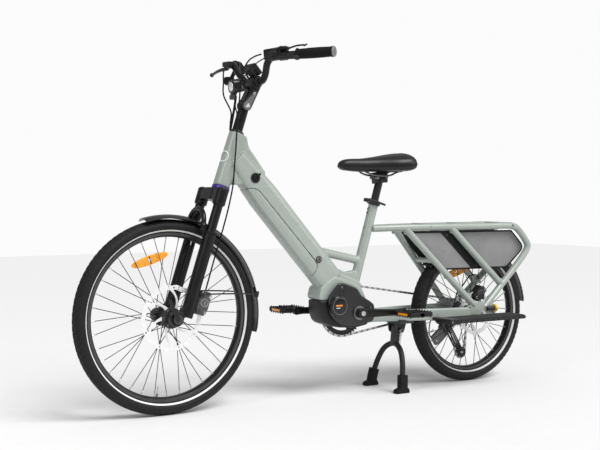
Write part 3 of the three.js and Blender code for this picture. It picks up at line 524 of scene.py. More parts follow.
def moulded(node, name, mat, body, voxel, smooth):
    """The CAD solid remeshed and eased, so that its joins and edges run as cast or welded ones do."""
    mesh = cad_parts[node].data.copy()
    mesh.name = name
    if "custom_normal" in mesh.attributes:
        mesh.attributes.remove(mesh.attributes["custom_normal"])
    bm = bmesh.new()
    bm.from_mesh(mesh)
    bmesh.ops.remove_doubles(bm, verts=bm.verts, dist=2e-5)
    bmesh.ops.dissolve_limit(bm, angle_limit=radians(1), verts=bm.verts, edges=bm.edges)
    bmesh.ops.recalc_face_normals(bm, faces=bm.faces)
    bm.to_mesh(mesh)
    bm.free()
    made = new_object(name, mesh)
    remesh = made.modifiers.new("remesh", "REMESH")
    remesh.mode = "VOXEL"
    remesh.voxel_size = voxel / 1000
    ease = made.modifiers.new("ease", "SMOOTH")
    ease.factor = 0.5
    ease.iterations = smooth
    applied(made)
    made.data.materials.clear()
    made.data.materials.append(mat)
    shade(made.data, 60)
    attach(made, body)
    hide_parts(node)


# ---- wheels
def around(c, r, angle, y=0.0):
    """A point at radius r and width y round a side-view centre."""
    return at(polar(*c, r, angle), y)


def make_tyre(side, c, radius, rim_outer, strip_r, segments):
    """Tyre with a blocky tread and a narrow pale strip on each side."""
    rc = (radius + rim_outer) / 2 - 1.2
    a = radius - rc
    strip = [degrees(acos((strip_r + d - rc) / a)) for d in (-2.4, 2.4)]
    half = [152, *strip, *[strip[1] * k / 20 for k in range(18, 0, -1)]]
    slopes = half + [0] + [-x for x in reversed(half)]
    b = Build()
    rings = []
    for i in range(segments):
        t = TAU * i / segments
        ring = []
        for deg in slopes:
            phi = radians(deg)
            r, y = rc + a * cos(phi), 28 * sin(phi)
            if abs(deg) < 66:
                r = min(r, radius)
                shoulder = abs(deg) > 34
                step = (i + round(abs(y) / 5)) % 4
                if (not shoulder and (8 < abs(deg) < 17 or step == 0)) or (shoulder and step < 2):
                    r, y = r - 2.2 * cos(phi), y - 2.2 * sin(phi)
            ring.append(around(c, r, t, y))
        rings.append(ring)
    n = len(slopes)
    verts = [p for ring in rings for p in ring]
    faces, kinds = [], []
    for i in range(segments):
        for k in range(n - 1):
            p, q = i * n, ((i + 1) % segments) * n
            faces.append((p + k, q + k, q + k + 1, p + k + 1))
            kinds.append(1 if k in (1, n - 3) else 0)
        faces.append((i * n + n - 1, ((i + 1) % segments) * n + n - 1, ((i + 1) % segments) * n, i * n))
        kinds.append(0)
    b.add(verts, faces, kinds)
    piece(f"{side}_tyre_tread", b, [TYRE, STRIP], f"{side}_wheel", [f"{side}_tyre"], 32)


SPOKES, SPOKE_SWEEP = 36, radians(52)


def make_wheel(side, c, rim_outer, rim_inner, hub_half, flanges, valve):
    """Rim, hub, crossed spokes with their nipples, and a valve at the given angle."""
    b = Build()
    ri, ro = rim_inner, rim_outer
    profile = [(ri, -5), (ri + 1, -9), (ri + 4, -14.5), (ri + 6, -15.6), (ri + 12, -16), (ro - 1, -16), (ro, -15),
               (ro, -13.4), (ro - 4, -13), (ro - 5, -8), (ro - 8, 0)]
    profile += [(r, -y) for r, y in reversed(profile[:-1])]
    bands = [0] * len(profile)
    for k, (r, y) in enumerate(profile):
        nxt = profile[(k + 1) % len(profile)]
        if min(abs(y), abs(nxt[1])) > 15 and ri + 5 < (r + nxt[0]) / 2 < ro - 2:
            bands[k] = 1
    b.turned(profile, at(c), segments=160, closed=True, mats=bands)
    left, right = flanges
    hub = [(7, -hub_half), (13, -hub_half), (14, -hub_half + 1), (14, left - 6), (17, left - 4), (31, left - 3.2),
           (32, left - 2), (32, left + 2), (31, left + 3), (22, left + 5), (18, left + 12), (17.4, (left + right) / 2),
           (18, right - 12), (22, right - 5), (31, right - 3), (32, right - 2), (32, right + 2), (31, right + 3.2),
           (17, right + 4), (14, right + 6), (14, hub_half - 1), (13, hub_half), (7, hub_half)]
    b.turned(hub, at(c), segments=56, mat=2, closed=True)
    for k in range(SPOKES):
        lean = 1 if (k // 2) % 2 == 0 else -1
        outer = TAU * k / SPOKES
        inner = outer + SPOKE_SWEEP * lean
        y = (left if k % 2 == 0 else right) + 2.4 * lean
        p, q = Vector(around(c, 28, inner, y)), Vector(around(c, ri + 4, outer, lean * 1.6))
        b.rod(p, q, 1.25, 8, 0, 0.1)
        head = (q - p).normalized()
        b.rod(q - head * 17, q, 1.9, 10, 4, 0.3, end=2.3)
        b.rod(Vector(around(c, 28, inner, y - 3.2)), Vector(around(c, 28, inner, y + 3.2)), 2.0, 8, 4, 0.3)
    stem = [around(c, ri + 2, valve), around(c, ri - 12, valve), around(c, ri - 34, valve)]
    b.rod(stem[0], stem[1], 4.6, 16, 3, 0.8, end=3.0)
    b.rod(stem[1], stem[2], 2.9, 16, 4, 1.0, end=2.6)
    piece(f"{side}_wheel_laced", b, [BLACK, RIM_BAND, CAST, DARK_STEEL, STEEL], f"{side}_wheel", [f"{side}_wheel"],
          34)


def make_reflector(side, c, r):
    """Lens-shaped spoke reflector: two ribbed amber ends with a bridge and a hole between them."""
    b = Build()
    angle = radians(107)
    u = Vector((-sin(angle), 0, cos(angle)))
    w = Vector((cos(angle), 0, sin(angle)))
    middle = Vector(around(c, r, angle, 4))

    def place(x, d, z):
        return middle + u * x + w * z + Vector((0, d, 0))
    b.plate([squircle(64, 15, 1, 0.85, 40), ring_outline(0, 0, 6.5, 20)], -3.2, 3.2, 1.6, 0, place)
    for sign in (-1, 1):
        for row in range(-2, 3):
            x0, x1 = sign * 12, sign * (54 - abs(row) * 7)
            rib = middle + u * ((x0 + x1) / 2) + w * (row * 4.1) + Vector((0, -3.4, 0))
            b.block(rib, (abs(x1 - x0), 1.2, 2.6), 0.5, 0, u, w)
    b.rod(middle + Vector((0, -4.4, 0)) - w * 12.5, middle + Vector((0, -4.4, 0)) + w * 12.5, 1.5, 10, 1)
    piece(f"{side}_spoke_reflectors", b, [AMBER, RUBBER], f"{side}_wheel", (), 40)


def make_rotor(side, c, radius, y):
    """Brake disc with a wavy drilled ring on curved arms."""
    b = Build()
    waves, arms, twist = 18, 6, 0.55
    steps = waves * 12
    turns = [TAU * i / steps for i in range(steps)]
    outer, inner = ([polar(0, 0, radius - deep + 1.5 * cos(waves * t), t) for t in turns] for deep in (1.5, 16.5))
    holes = []
    for i in range(waves * 2):
        t = TAU * (i + 0.5) / (waves * 2)
        for r, size in ((radius - 12.2, 2.1), (radius - 5.8, 2.3)) if i % 2 else ((radius - 9.2, 3.0),):
            holes.append(ring_outline(*polar(0, 0, r, t), size, 10))

    def place(x, d, z):
        return (c[0] + x, d, c[1] + z)
    b.plate([outer, inner, *holes], y, y + 2.0, 0.3, 0, place, 1)
    carrier = [ring_outline(0, 0, 34, 64), ring_outline(0, 0, 17, 32), *hole_circle(0, 0, 25.5, arms, 3)]
    b.plate(carrier, y - 0.1, y + 2.1, 0.3, 1, place, 1)
    for i in range(arms):
        start = TAU * i / arms
        left, right = [], []
        for s in range(13):
            f = s / 12
            r = 30 + (radius - 14 - 30) * f
            t = start + twist * f ** 1.3
            half = (6.4 - 2.6 * sin(pi * f)) / r
            left.append(polar(0, 0, r, t - half))
            right.append(polar(0, 0, r, t + half))
        b.plate([left + right[::-1]], y + 0.1, y + 1.9, 0.3, 0, place, 1)
        b.bolt(around(c, 25.5, start, y - 0.2), LEFT, 3.4, 1.8, 2)
    piece(f"{side}_rotor_waved", b, [ROTOR, CAST, DARK_STEEL], f"{side}_wheel", [f"{side}_rotor"], 34)


make_tyre("front", FRONT_HUB, 313, 272, 277, 360)
make_tyre("rear", REAR_HUB, 259, 219, 223, 300)
make_wheel("front", FRONT_HUB, 272, 256, 48, (-20, 34), radians(262))
make_wheel("rear", REAR_HUB, 219, 204, 66, (-34, 20), radians(200))
make_reflector("front", FRONT_HUB, 192)
make_reflector("rear", REAR_HUB, 160)
make_rotor("front", FRONT_HUB, 106, -38.4)
make_rotor("rear", REAR_HUB, 81.5, -52)

b = Build()
b.rod(at(FRONT_HUB, -89), at(FRONT_HUB, 89), 6, 32, 0, 1)
piece("front_axle_bar", b, STEEL, "fork_slider", ["front_axle"])
b = Build()
b.turned([(6.5, 0), (15, 0), (16, 1), (16, 5), (13, 8), (6.5, 8)], at(FRONT_HUB, -90.5), segments=32, closed=True)
b.plate([slot_outline((-2, 315), (-30, 372), 8, 5, 10)], -94, -90, 1.4, 0)
piece("front_axle_lever", b, CAST, "fork_slider")
b = Build()
b.rod(at(REAR_HUB, -105), at(REAR_HUB, 105), 6, 32, 0, 1)
for s in (-1, 1):
    b.turned([(6.2, 0), (12, 0), (12, 1.6), (6.2, 1.6)], at(REAR_HUB, s * 95.6), (0, s, 0), 32, 0, True)
    b.plate([ring_outline(*REAR_HUB, 10.5, 6)], *span(s, 97.4, 103.6), 1.0, 0)
piece("rear_axle_bar", b, STEEL, "frame", ["rear_axle"])


# ---- mudguards
def make_guard(b, c, crown, half, drop, start, end):
    """Mudguard arc from one angle to another; its crown is at one radius and its edges a drop lower."""
    widths = [-half + 2 * half * i / 16 for i in range(17)]
    section = [(crown - drop * abs(y / half) ** 2.1, y) for y in widths]
    inner = [(r - 2.2, y * 0.965) for r, y in reversed(section)]
    loop = [*section, (section[-1][0] - 2.6, half + 0.2), *inner, (section[0][0] - 2.6, -half - 0.2)]
    rings = []
    steps = 90
    for i in range(steps + 1):
        t = radians(start + (end - start) * i / steps)
        end_ease = min(i, steps - i)
        shrink = 1 - (0.13 if end_ease == 0 else 0.04 if end_ease == 1 else 0)
        rings.append([around(c, r, t, y * shrink) for r, y in loop])
    b.loft(rings)


b = Build()
make_guard(b, FRONT_HUB, 328, 34, 10, -12, 105)
for s in (-1, 1):
    b.tube([(313, s * 31.5, 373), (262, s * 56, 379), (150, s * 69, 385), (88, s * 72, 386)], 2.5, 12, 0)
    b.block((311, s * 33, 374), (20, 5, 15), 2, 2, (0.2, 0, 1), BACK)
    b.rod((88, s * 69, 386), (88, s * 76, 386), 5.5, 20, 2)
piece("front_mudguard", b, [GLOSS, DARK_STEEL, PLASTIC], "fork_slider", ["front_fender"])
b = Build()
make_guard(b, REAR_HUB, 274, 31, 8, 6, 138)
b.block((1243, 0, 545), (26, 15, 30), 3, 1)
b.bolt((1243, -7.5, 549), LEFT, 4, 2.4, 1)
piece("rear_mudguard", b, [GLOSS, DARK_STEEL], "frame", ["rear_fender"])

# ---- main frame and battery
moulded("main_frame", "main_frame_welded", PAINT, "frame", 2.2, 16)
moulded("battery", "battery_shell", PAINT, "battery", 2.2, 12)
b = Build()
b.turned([(15.2, 0), (24.2, 0), (24.8, 0.6), (24.8, 2.4), (24, 3.2), (15.2, 3.2)], steer(0, 0, 198.6), HEAD_AXIS, 56,
         0, True)
b.turned([(15.2, 0), (20.5, 0), (21, 0.6), (20, 3), (18, 4.1), (15.2, 4.1)], steer(0, 0, 202), HEAD_AXIS, 56, 0, True)
piece("headset_top", b, CAST, "frame")
b = Build()
b.turned([(18.4, 0), (29.0, 0), (30, 1), (30, 8.4), (29, 9.6), (18.4, 9.6)], steer(0, 0, 1.4), HEAD_AXIS, 56, 0, True)
piece("headset_race", b, VIOLET, "frame")
b = Build()
BADGE_R, TUBE_R = 17.5, 27.6  # the ring's radius, and that of the head tube under it
ring = []
for i in range(48):
    t = TAU * i / 48
    turn = radians(17) + BADGE_R * cos(t) / 27.5
    ring.append(steer(-TUBE_R * cos(turn), -TUBE_R * sin(turn), 108 + BADGE_R * sin(t)))
b.loft([[Vector(p) + (HEAD_AXIS * (1.9 * sin(TAU * k / 8) * sin(TAU * i / 48))
                      + Vector((0, -1.5 * cos(TAU * k / 8), 0)) + Vector((-1.2 * cos(TAU * k / 8), 0, 0))
                      + Vector((0.5, -0.8, 0)) * (1.9 * sin(TAU * k / 8) * cos(TAU * i / 48)))
         for k in range(8)] for i, p in enumerate(ring)], 0, True)
piece("head_ring", b, WHITE, "frame")
b = Build()
b.turned([(12.2, 0), (16.6, 0), (17.2, 0.8), (17.0, 2.4), (15.6, 3.4), (12.8, 3.2), (12.2, 2.4)], at(PORT, -36.4),
         LEFT, 48, 0, True)
piece("port_ring", b, PLASTIC, "frame")
b = Build()
b.turned([(1, 0), (11.3, 0), (11.3, 9.6), (10.4, 11.2), (8, 12), (3, 12.3), (0.6, 12.3)], at(PORT, -30), LEFT, 48)
b.plate([slot_outline((PORT[0] + 4, PORT[1] + 4), (PORT[0] + 15, PORT[1] + 13), 4.5, 3.5, 8)], -43.4, -40.8, 0.8)
piece("port_cap", b, RUBBER, "charge_cap", ["charge_port_cap"])
b = Build()
b.turned([(8.5, 0), (11.6, 0), (12, 0.6), (11.4, 1.8), (8.5, 2.2)], at(LOCK, -36.6), LEFT, 40, 0, True)
piece("lock_ring", b, CAST, "frame")
b = Build()
b.turned([(0.8, 0), (7.9, 0), (7.9, 8), (7.2, 8.8), (0.8, 8.9)], at(LOCK, -31.4), LEFT, 40, 0)
b.block(at(LOCK, -40.5), (1.6, 1, 7.5), 0.3, 1)
piece("lock_barrel", b, [DARK_STEEL, RUBBER], "key_lock", ["key_lock"])
b = Build()
for x, z, r, height in ((786.4, 653, 5, 5), (782.2, 639, 5, 5), (766.6, 587, 3.2, 2.6)):
    b.bolt((x, -3, z), (-0.958, -0.1, 0.287), r, height)
piece("seat_tube_bolts", b, DARK_STEEL, "frame")

# ---- motor
b = Build()
b.plate([rounded([(553, 339.6, 6), (552, 300, 18), (566, 262, 18), (620, 243, 26), (700, 238, 26), (751, 246, 6),
                  (756, 262, 5), (756, 294.6), (739, 339.6)], 8)], -47.8, 34, 7, steps=5)
b.rod(at(CRANK, 30), at(CRANK, 40), 24, 48)
for x, z in ((590, 262), (668, 247), (738, 256), (570, 322)):
    b.bolt((x, 34, z), RIGHT, 4.5, 3, 1)
piece("motor_case", b, [CAST, DARK_STEEL], "frame", ["motor_unit"])
COVER_LINE = [(580, 352, 10), (622, 398, 9), (644, 398, 9), (700, 378, 14), (716, 352, 8), (768, 322, 14),
              (776, 292, 14), (770, 258, 16), (700, 246, 26), (630, 252, 28), (583, 290, 28)]
CAP_AT = (620, -70, 319.5)
b = Build()
b.plate([rounded(COVER_LINE, 8)], -60, -48.3, 6.5, 0, steps=6)
b.turned([(0.8, 0), (30, 0), (33, 0.6), (35.4, 2.4), (36.6, 5), (37.4, 8), (38, 13), (38, 15)], CAP_AT, segments=72,
         mat=1)
b.turned([(27.6, 0.2), (28.6, -0.3), (29.6, 0.2), (29.6, 1.2), (27.6, 1.2)], CAP_AT, segments=72, mat=2, closed=True)
b.block((616, -70.2, 322), (27, 0.9, 5), 0.4, 4)
b.block((612, -70.2, 313.5), (16, 0.9, 2), 0.3, 5)
b.turned([(17, 0), (23.5, 0), (24.5, 1.5), (24.5, 4), (17, 4)], at(CRANK, -63.4), segments=56, mat=3, closed=True)
for x, z in ((634, 384), (755, 306), (598, 292)):
    b.bolt((x, -59.6, z), LEFT, 3.6, 1.6, 3)
piece("motor_side_cover", b, [GREY_PLASTIC, GLOSS, MID_GREY, DARK_STEEL, ORANGE, WHITE], "frame", ["motor_cover"],
      34)

# ---- rear frame and rack
def rack_side(side):
    """One side of the rear frame: rack tube, two slanting stays, chainstay and dropout."""
    b = Build()
    top = [(794, 13.6, 583), (856, 21, 584), (924, 34, 585), (1115, 55, 586), (1300, 68, 586), (1395, 72, 586),
           (1424, 72, 578), (1470, 72, 533), (1484, 72, 508), (1472, 72, 483), (1350, 74, 364), (1252, 86, 282)]
    b.tube([(x, side * y, z) for x, y, z in top], 12.5, 28, 0, 7)
    b.tube([(925, side * 34, 583), (1204, side * 88, 292)], 12.5, 28)
    b.tube([(1118, side * 55, 584), (1347, side * 74, 366)], 12.5, 28)
    stay = smooth_path([(757, side * 28, 273), (812, side * 30, 272), (960, side * 62, 270), (1180, side * 86, 267)], 8)
    b.loft([[p + Vector((0, a, h)) for a, h in oblong(-11, -21, 11, 21, 8, 5)] for p in stay])
    dropout = rounded([(1165, 286, 8), (1200, 304, 10), (1288, 302, 10), (1306, 286, 10), (1306, 258, 10),
                       (1292, 246, 8), (1180, 246, 8)], 6)
    b.plate([dropout, ring_outline(*REAR_HUB, 6.6)], *span(side, 80, 94), 2.6, steps=4)
    # Weld beads where the tubes meet.
    for x, y, z, dx, dz in ((932, 37, 571, 0.69, -0.72), (1127, 56, 573, 0.72, -0.69), (1338, 73, 377, -0.72, 0.69),
                            (1194, 86, 303, -0.69, 0.72)):
        b.turned([(11.8, -3.4), (14.2, -2), (14.9, 0), (14.2, 2), (11.8, 3.4)], (x, side * y, z), (dx, 0, dz), 36)
    for x, y in ((1024, 44.4), (1397, 72)):
        b.bolt((x, side * (y + 11.6), 587), (0, side, 0), 4.4, 3, 1)
    b.bolt((1178, side * 94, 288), (0, side, 0), 4.2, 3, 1)
    return b


left = rack_side(-1)
left.rod((1042, -56, 462), (1042, 56, 462), 10, 28)
for x, y in ((1024, 46), (1200, 60), (1397, 72)):
    left.block((x, 0, 591), (2 * y + 4, 24, 16), 4, 0, RIGHT)
for y in (-24, 24):
    left.plate([rounded([(888, 250), (940, 250), (924, 202, 11), (897, 202, 11)], 6), ring_outline(909, 213, 6.6, 20)],
               y - 3.5, y + 3.5, 1.2, 3)
left.block((912, 0, 248), (66, 124, 15), 3, 3)
left.rod((909, -33, 213), (909, 33, 213), 6, 24, 1)
left.bolt((909, -32, 213), LEFT, 8.5, 5, 1)
left.rod((1258, -98, 280), (1293, -98, 280), 8.5, 28, 3, 1.2)
left.turned([(0.8, 0), (12, 0), (14, 1.5), (14, 8), (12.4, 10), (0.8, 10.4)], (1291, -98, 280), BACK, 36, 2)
piece("rear_frame_left_welded", left, [PAINT, DARK_STEEL, GOLD, CAST], "frame", ["rear_frame_left"])
piece("rear_frame_right_welded", rack_side(1), [PAINT, DARK_STEEL], "frame", ["rear_frame_right"])

# ---- side panels
for side, name in SIDES:
    lean = side * atan2(18, 527)

    def place(x, y, z):
        return (960 + x * cos(lean) - y * sin(lean), side * 34 + x * sin(lean) + y * cos(lean), z)
    b = Build()
    board = rounded([(-12, 569), (124, 426, 4), (438, 424, 14), (527, 502, 30), (460, 569)], 8)
    b.plate([board], -2.2, 2.2, 0.8, 0, place)
    insets = ([(6, 563, 3), (130, 432, 4), (262, 431.5, 4), (122, 563, 3)],
              [(172, 563, 3), (312, 431.5, 4), (433, 430.5, 10), (517, 501, 22), (457, 563, 4)])
    for inset in insets:
        b.plate([rounded(inset, 7)], *span(side, 2.0, 3.4), 0.6, 1, place)
    for x, z in ((136, 497), (288, 437), (428, 437), (452, 556), (150, 556)):
        for s in (-1, 1):
            b.bolt(place(x, s * 3.2, z), (0, s, 0), 2.6, 1.0, 2)
    piece(f"side_board_{name}", b, [PLASTIC, PANEL, DARK_STEEL], "frame", [f"side_panel_{name}"])

# ---- footboards
for side, name in SIDES:
    b = Build()

    def deck(x, y, z):
        return (x, side * z, y)
    outline = rounded([(1002, 108, 9), (1362, 108, 14), (1362, 200, 14), (1002, 200, 9)], 6)
    b.plate([outline], 246, 259.4, 3.2, 0, deck, 4)
    holes = [ring_outline(1026 + i * 15.6 + (7.8 if k % 2 else 0), 120.5 + k * 16.8, 3.9, 10)
             for i in range(21) for k in range(5)]
    tread = rounded([(1012, 112, 6), (1352, 112, 9), (1352, 196, 9), (1012, 196, 6)], 5)
    b.plate([tread, *holes], 259.0, 261.8, 0.5, 1, deck, 1)
    b.plate([oblong(1001.5, 110, 1046, 201, 5, 5)], 243.6, 262, 3, 2, deck, 4)
    for x, reach in ((1026, 82.6), (1194, 94.6)):
        b.block((x, side * (reach + 112) / 2, 254), (28, abs(114 - reach), 13), 3, 2, BACK)
    for x in (1010, 1354):
        b.rod((x, side * 200, 253), (x, side * 201.6, 253), 4, 20, 3, 0.5)
    for i in range(12):
        b.block((1060 + i * 25, side * 199.6, 252.6), (14, 1.6, 5), 0.6, 1, BACK)
    piece(f"footboard_tread_{name}", b, [PLASTIC, TREAD_PAD, BLACK, DARK_STEEL], "frame", [f"footboard_{name}"])

# ---- double stand
b = Build()
b.sweep([(909, 0, 225), (906, 0, 195), (902, 0, 155)], oblong(-15, -11, 15, 11, 5, 4), 0, BACK)
for s in (-1, 1):
    b.tube([(902, s * 4, 164), (899, s * 26, 158), (893, s * 52, 140), (885, s * 72, 106), (875, s * 86, 60),
            (868, s * 95, 12)], 10,
           24, 0, 6)
    sleeve = smooth_path([(875, s * 87, 62), (871, s * 92, 36), (868, s * 95, 10)], 4)
    b.sweep(sleeve, oblong(-13, -16, 13, 16, 5, 4), 1, BACK)
    foot = rounded([(835, 0.4, 5), (893, 0.4, 5), (890, 17, 8), (876, 20, 7), (854, 19, 7), (837, 13, 6)], 5)
    b.plate([foot], s * 95 - 13, s * 95 + 13, 2.6, 1)
    for k in range(5):
        b.block((843 + k * 11, s * 95, 1.4), (4, 25.4, 2.6), 0.6, 1, BACK)
# Its spring: 11 turns of 10 points.
start, end = Vector((921, -13, 200)), Vector((904, -21, 150))
along = (end - start).normalized()
u = along.orthogonal().normalized()
w = along.cross(u)
coil = []
for i in range(111):
    t = TAU * i / 10
    coil.append(start.lerp(end, i / 110) + u * (5 * cos(t)) + w * (5 * sin(t)))
b.tube(coil, 1.2, 8, 2, straight=True)
b.rod((903, -12, 205), (903, 12, 205), 4, 16, 2)
piece("double_stand", b, [CAST, RUBBER, DARK_STEEL], "kickstand", ["kickstand"])

# ---- seat
POST_LOW, POST_HIGH = Vector((716, 0, 360)), Vector((808, 0, 667))
POST_UP = (POST_HIGH - POST_LOW).normalized()
POST_AHEAD = Vector((-POST_UP.z, 0, POST_UP.x))


def on_post(along, front=0, y=0):
    return POST_HIGH + POST_UP * along + POST_AHEAD * front + Vector((0, y, 0))


b = Build()
b.turned([(14.4, 0.4), (22, 0.4), (23, 1.6), (23, 14.6), (22, 15.8), (14.4, 15.8)], on_post(0), POST_UP, 56, 0, True)
b.block(on_post(8.5, 30), (22, 19, 13), 3, 0, POST_AHEAD, POST_UP)
b.rod(on_post(8.5, 34, -11), on_post(8.5, 34, 12), 3.6, 20, 1)
piece("seat_collar", b, [CAST, DARK_STEEL], "frame", ["seat_clamp"])
b = Build()
b.rod(on_post(2.6, 32, -19), on_post(14.4, 32, -19), 6.6, 28)
b.tube([on_post(8.5, 33, -25), on_post(8.5, 12, -29), on_post(8.5, -12, -31), on_post(8.5, -30, -29)], 4.6, 16, 0, 8,
       end=3.6)
piece("seat_cam_lever", b, CAST, "clamp_lever", ["seat_clamp_lever"])
b = Build()
b.rod(on_post(-170), on_post(96), 14, 48, 0, 0.6)
clamp = rounded([(-20, -11, 7), (20, -11, 7), (20, 10, 6), (-20, 10, 6)], 5)
b.sweep([(806, 0, 762), (834, 0, 766), (863, 0, 767)], clamp)
b.rod((812, -23, 764), (812, 23, 764), 5.6, 24, 1)
b.rod((852, -23, 766), (852, 23, 766), 5.6, 24, 1)
for s in (-1, 1):
    b.tube([(748, s * 14, 792), (772, s * 20, 780), (800, s * 22, 773), (866, s * 22, 773), (890, s * 26, 783),
            (908, s * 34, 790)],
           3.5, 14, 1, 8)
b.rod((748, -16, 792), (748, 16, 792), 3.5, 14, 1)
piece("seatpost_clamped", b, [BLACK, DARK_STEEL], "seat", ["seatpost"])

# Along the saddle: x, half its width, the heights of its underside and top.
STATIONS = [(660, 9, 801, 808), (664, 16, 796, 818), (672, 21.5, 793, 824), (686, 25.5, 790, 828), (700, 28, 789, 830),
            (722, 31, 787, 831), (745, 34.5, 786, 832), (768, 39.5, 786, 834), (790, 47, 786, 837),
            (815, 58, 787, 840), (840, 71, 787, 844), (862, 82, 788, 848), (885, 90, 788, 851), (904, 94, 789, 854),
            (918, 95, 790, 855), (930, 92, 793, 853), (941, 84, 797, 849), (948, 72, 803, 843), (951.5, 56, 809, 836)]


def edge_height(under, top):
    return under + (top - under) * 0.42


def droop(half):
    """How far the saddle's edges hang where it is this wide."""
    return 8 * (half / 95) ** 1.5


def saddle_ring(x, half, under, top):
    """Section of the saddle, with a shallow groove along its middle."""
    ring = []
    count = 56
    mid = edge_height(under, top)
    for i in range(count):
        t = TAU * i / count
        c, s = cos(t), sin(t)
        y = copysign(abs(c) ** 0.72, c) * half
        z = mid + (top - mid) * abs(s) ** 0.8 if s > 0 else mid - (mid - under) * abs(s) ** 0.55
        edge = abs(y) / max(half, 1)
        z -= droop(half) * edge ** 2
        if s > 0:
            z -= 3.2 * exp(-(y / 7.5) ** 2) * min(1, max(0, (x - 720) / 60)) * min(1, max(0, (930 - x) / 40))
        ring.append((x, y, z))
    return ring


b = Build()
b.loft([saddle_ring(*s) for s in STATIONS])
made = piece("saddle_cushion", b, COVER, "seat", ["saddle"], 80)
swell = made.modifiers.new("swell", "SUBSURF")
swell.levels = swell.render_levels = 1
applied(made)
made.data.polygons.foreach_set("use_smooth", [True] * len(made.data.polygons))
b = Build()
seam = [(x, -(half + 0.4), edge_height(under, top) - droop(half)) for x, half, under, top in STATIONS[1:]]
b.tube([*seam, (952.6, 0, 820), *[(x, -y, z) for x, y, z in reversed(seam)]], 1.5, 10, 0, 5)
# The stitches lie a little inside it, at nine tenths of the width.
for s in (-1, 1):
    for i in range(34):
        x = 742 + 176 * (i / 33)
        k = next(j for j in range(1, len(STATIONS)) if STATIONS[j][0] >= x)
        p, q = STATIONS[k - 1], STATIONS[k]
        g = (x - p[0]) / (q[0] - p[0])
        half, under, top = (p[n] + (q[n] - p[n]) * g for n in (1, 2, 3))
        y = half * 0.9
        z = edge_height(under, top) + (top - under) * 0.58 * (1 - 0.9 ** 2.78) ** 0.4 - droop(half) * 0.81
        b.rod((x - 1.6, s * y, z - 0.1), (x + 1.6, s * y, z), 0.7, 6, 1, 0.1)
piece("saddle_piping", b, [RUBBER, THREAD], "seat")
b = Build()
b.loft([[(x, y * 0.9, min(z, under + 5) - 1.2) for x, y, z in saddle_ring(x, half, under, top)]
        for x, half, under, top in STATIONS[2:-1]])
b.block((905, 0, 789), (18, 66, 9), 3, 0)
piece("saddle_base", b, PLASTIC, "seat")

# ---- cranks, chainring and pedals
CRANK_RISE = 4  # of the right pedal over the bottom bracket, and of that over the left one


def pedal_centre(side):
    return (CRANK[0] - CRANK_LENGTH * side, CRANK[1] + CRANK_RISE * side)


def make_crank(name, side, node, spindle):
    """Crank arm with its hub and pedal axle, and for one side the spindle."""
    b = Build()
    foot = pedal_centre(side)
    path = [(CRANK[0] - CRANK_LENGTH * side * f, side * (74 + 12 * f ** 0.8), CRANK[1] + CRANK_RISE * side * f)
            for f in [k / 14 for k in range(15)]]

    def section(t):
        h = 17.5 - 5.5 * sin(min(1, t * 1.25) * pi / 2) + 3.2 * max(0, t - 0.86) / 0.14
        w = 7.2 - 1.2 * t
        return squircle(w, h, 0.45, 0.6, 28)
    b.sweep(path, section, 0, UP)
    b.turned([(11, 0), (17.4, 0), (18.4, 1.2), (18.4, 15), (17, 18), (12, 19)], at(CRANK, side * 66), (0, side, 0))
    b.turned([(1, 0), (8.6, 0), (8.6, 1.6), (7.8, 2.6), (4.6, 2.6), (4.4, 0.8), (1, 0.8)], at(CRANK, side * 84.6),
             (0, side, 0), 32, 1)
    b.turned([(5, 0), (13.4, 0), (14.4, 1), (14.4, 12.4), (13.4, 13.6), (5, 13.6)], at(foot, side * 80), (0, side, 0),
             40)
    b.rod(at(foot, side * 84), at(foot, side * 190), 4.6, 24, 1)
    b.turned([(4, 0), (8.6, 0), (8.6, 2.4), (4, 2.4)], at(foot, side * 93.4), (0, side, 0), 6, 1)
    if spindle:
        b.rod(at(CRANK, -66), at(CRANK, 58), 11, 36, 1)
    piece(name, b, [BLACK, STEEL], "crankset", [node])


make_crank("crank_arm_left", -1, "crank_left", True)
make_crank("crank_arm_right", 1, "crank_right", False)


def toothed(centre, r, teeth, depth, start=0.0):
    """Sprocket outline: r is the pitch radius."""
    out = []
    for i in range(teeth):
        for f, d in ((0.0, -0.72), (0.16, -0.6), (0.3, 0.1), (0.42, 0.62),
                     (0.5, 0.7), (0.58, 0.62), (0.7, 0.1), (0.84, -0.6)):
            out.append(polar(*centre, r + depth * d, start + TAU * (i + f) / teeth))
    return out


b = Build()
windows = []
for i in range(4):
    a0, a1 = TAU * i / 4 + 0.5 + 0.26, TAU * (i + 1) / 4 + 0.5 - 0.26
    outer = [polar(*CRANK, 72, a0 + (a1 - a0) * k / 14) for k in range(15)]
    inner = [polar(*CRANK, 36, a1 - 0.2 + (a0 - a1 + 0.4) * k / 10) for k in range(11)]
    windows.append(outer + inner)
b.plate([toothed(CRANK, 91.4, 46, 4.4), *windows, ring_outline(*CRANK, 11.6, 32)], 45.6, 48.4, 0.4, 0, None, 1)
b.turned([(11.6, 42), (29, 42), (30, 43), (30, 49), (29, 50), (11.6, 50)], at(CRANK), segments=56, closed=True)
for i in range(4):
    b.bolt(around(CRANK, 77, TAU * i / 4 + 0.5, 48.2), RIGHT, 5, 2.6, 1)
piece("chainring_toothed", b, [BLACK, STEEL], "crankset", ["chainring"], 34)

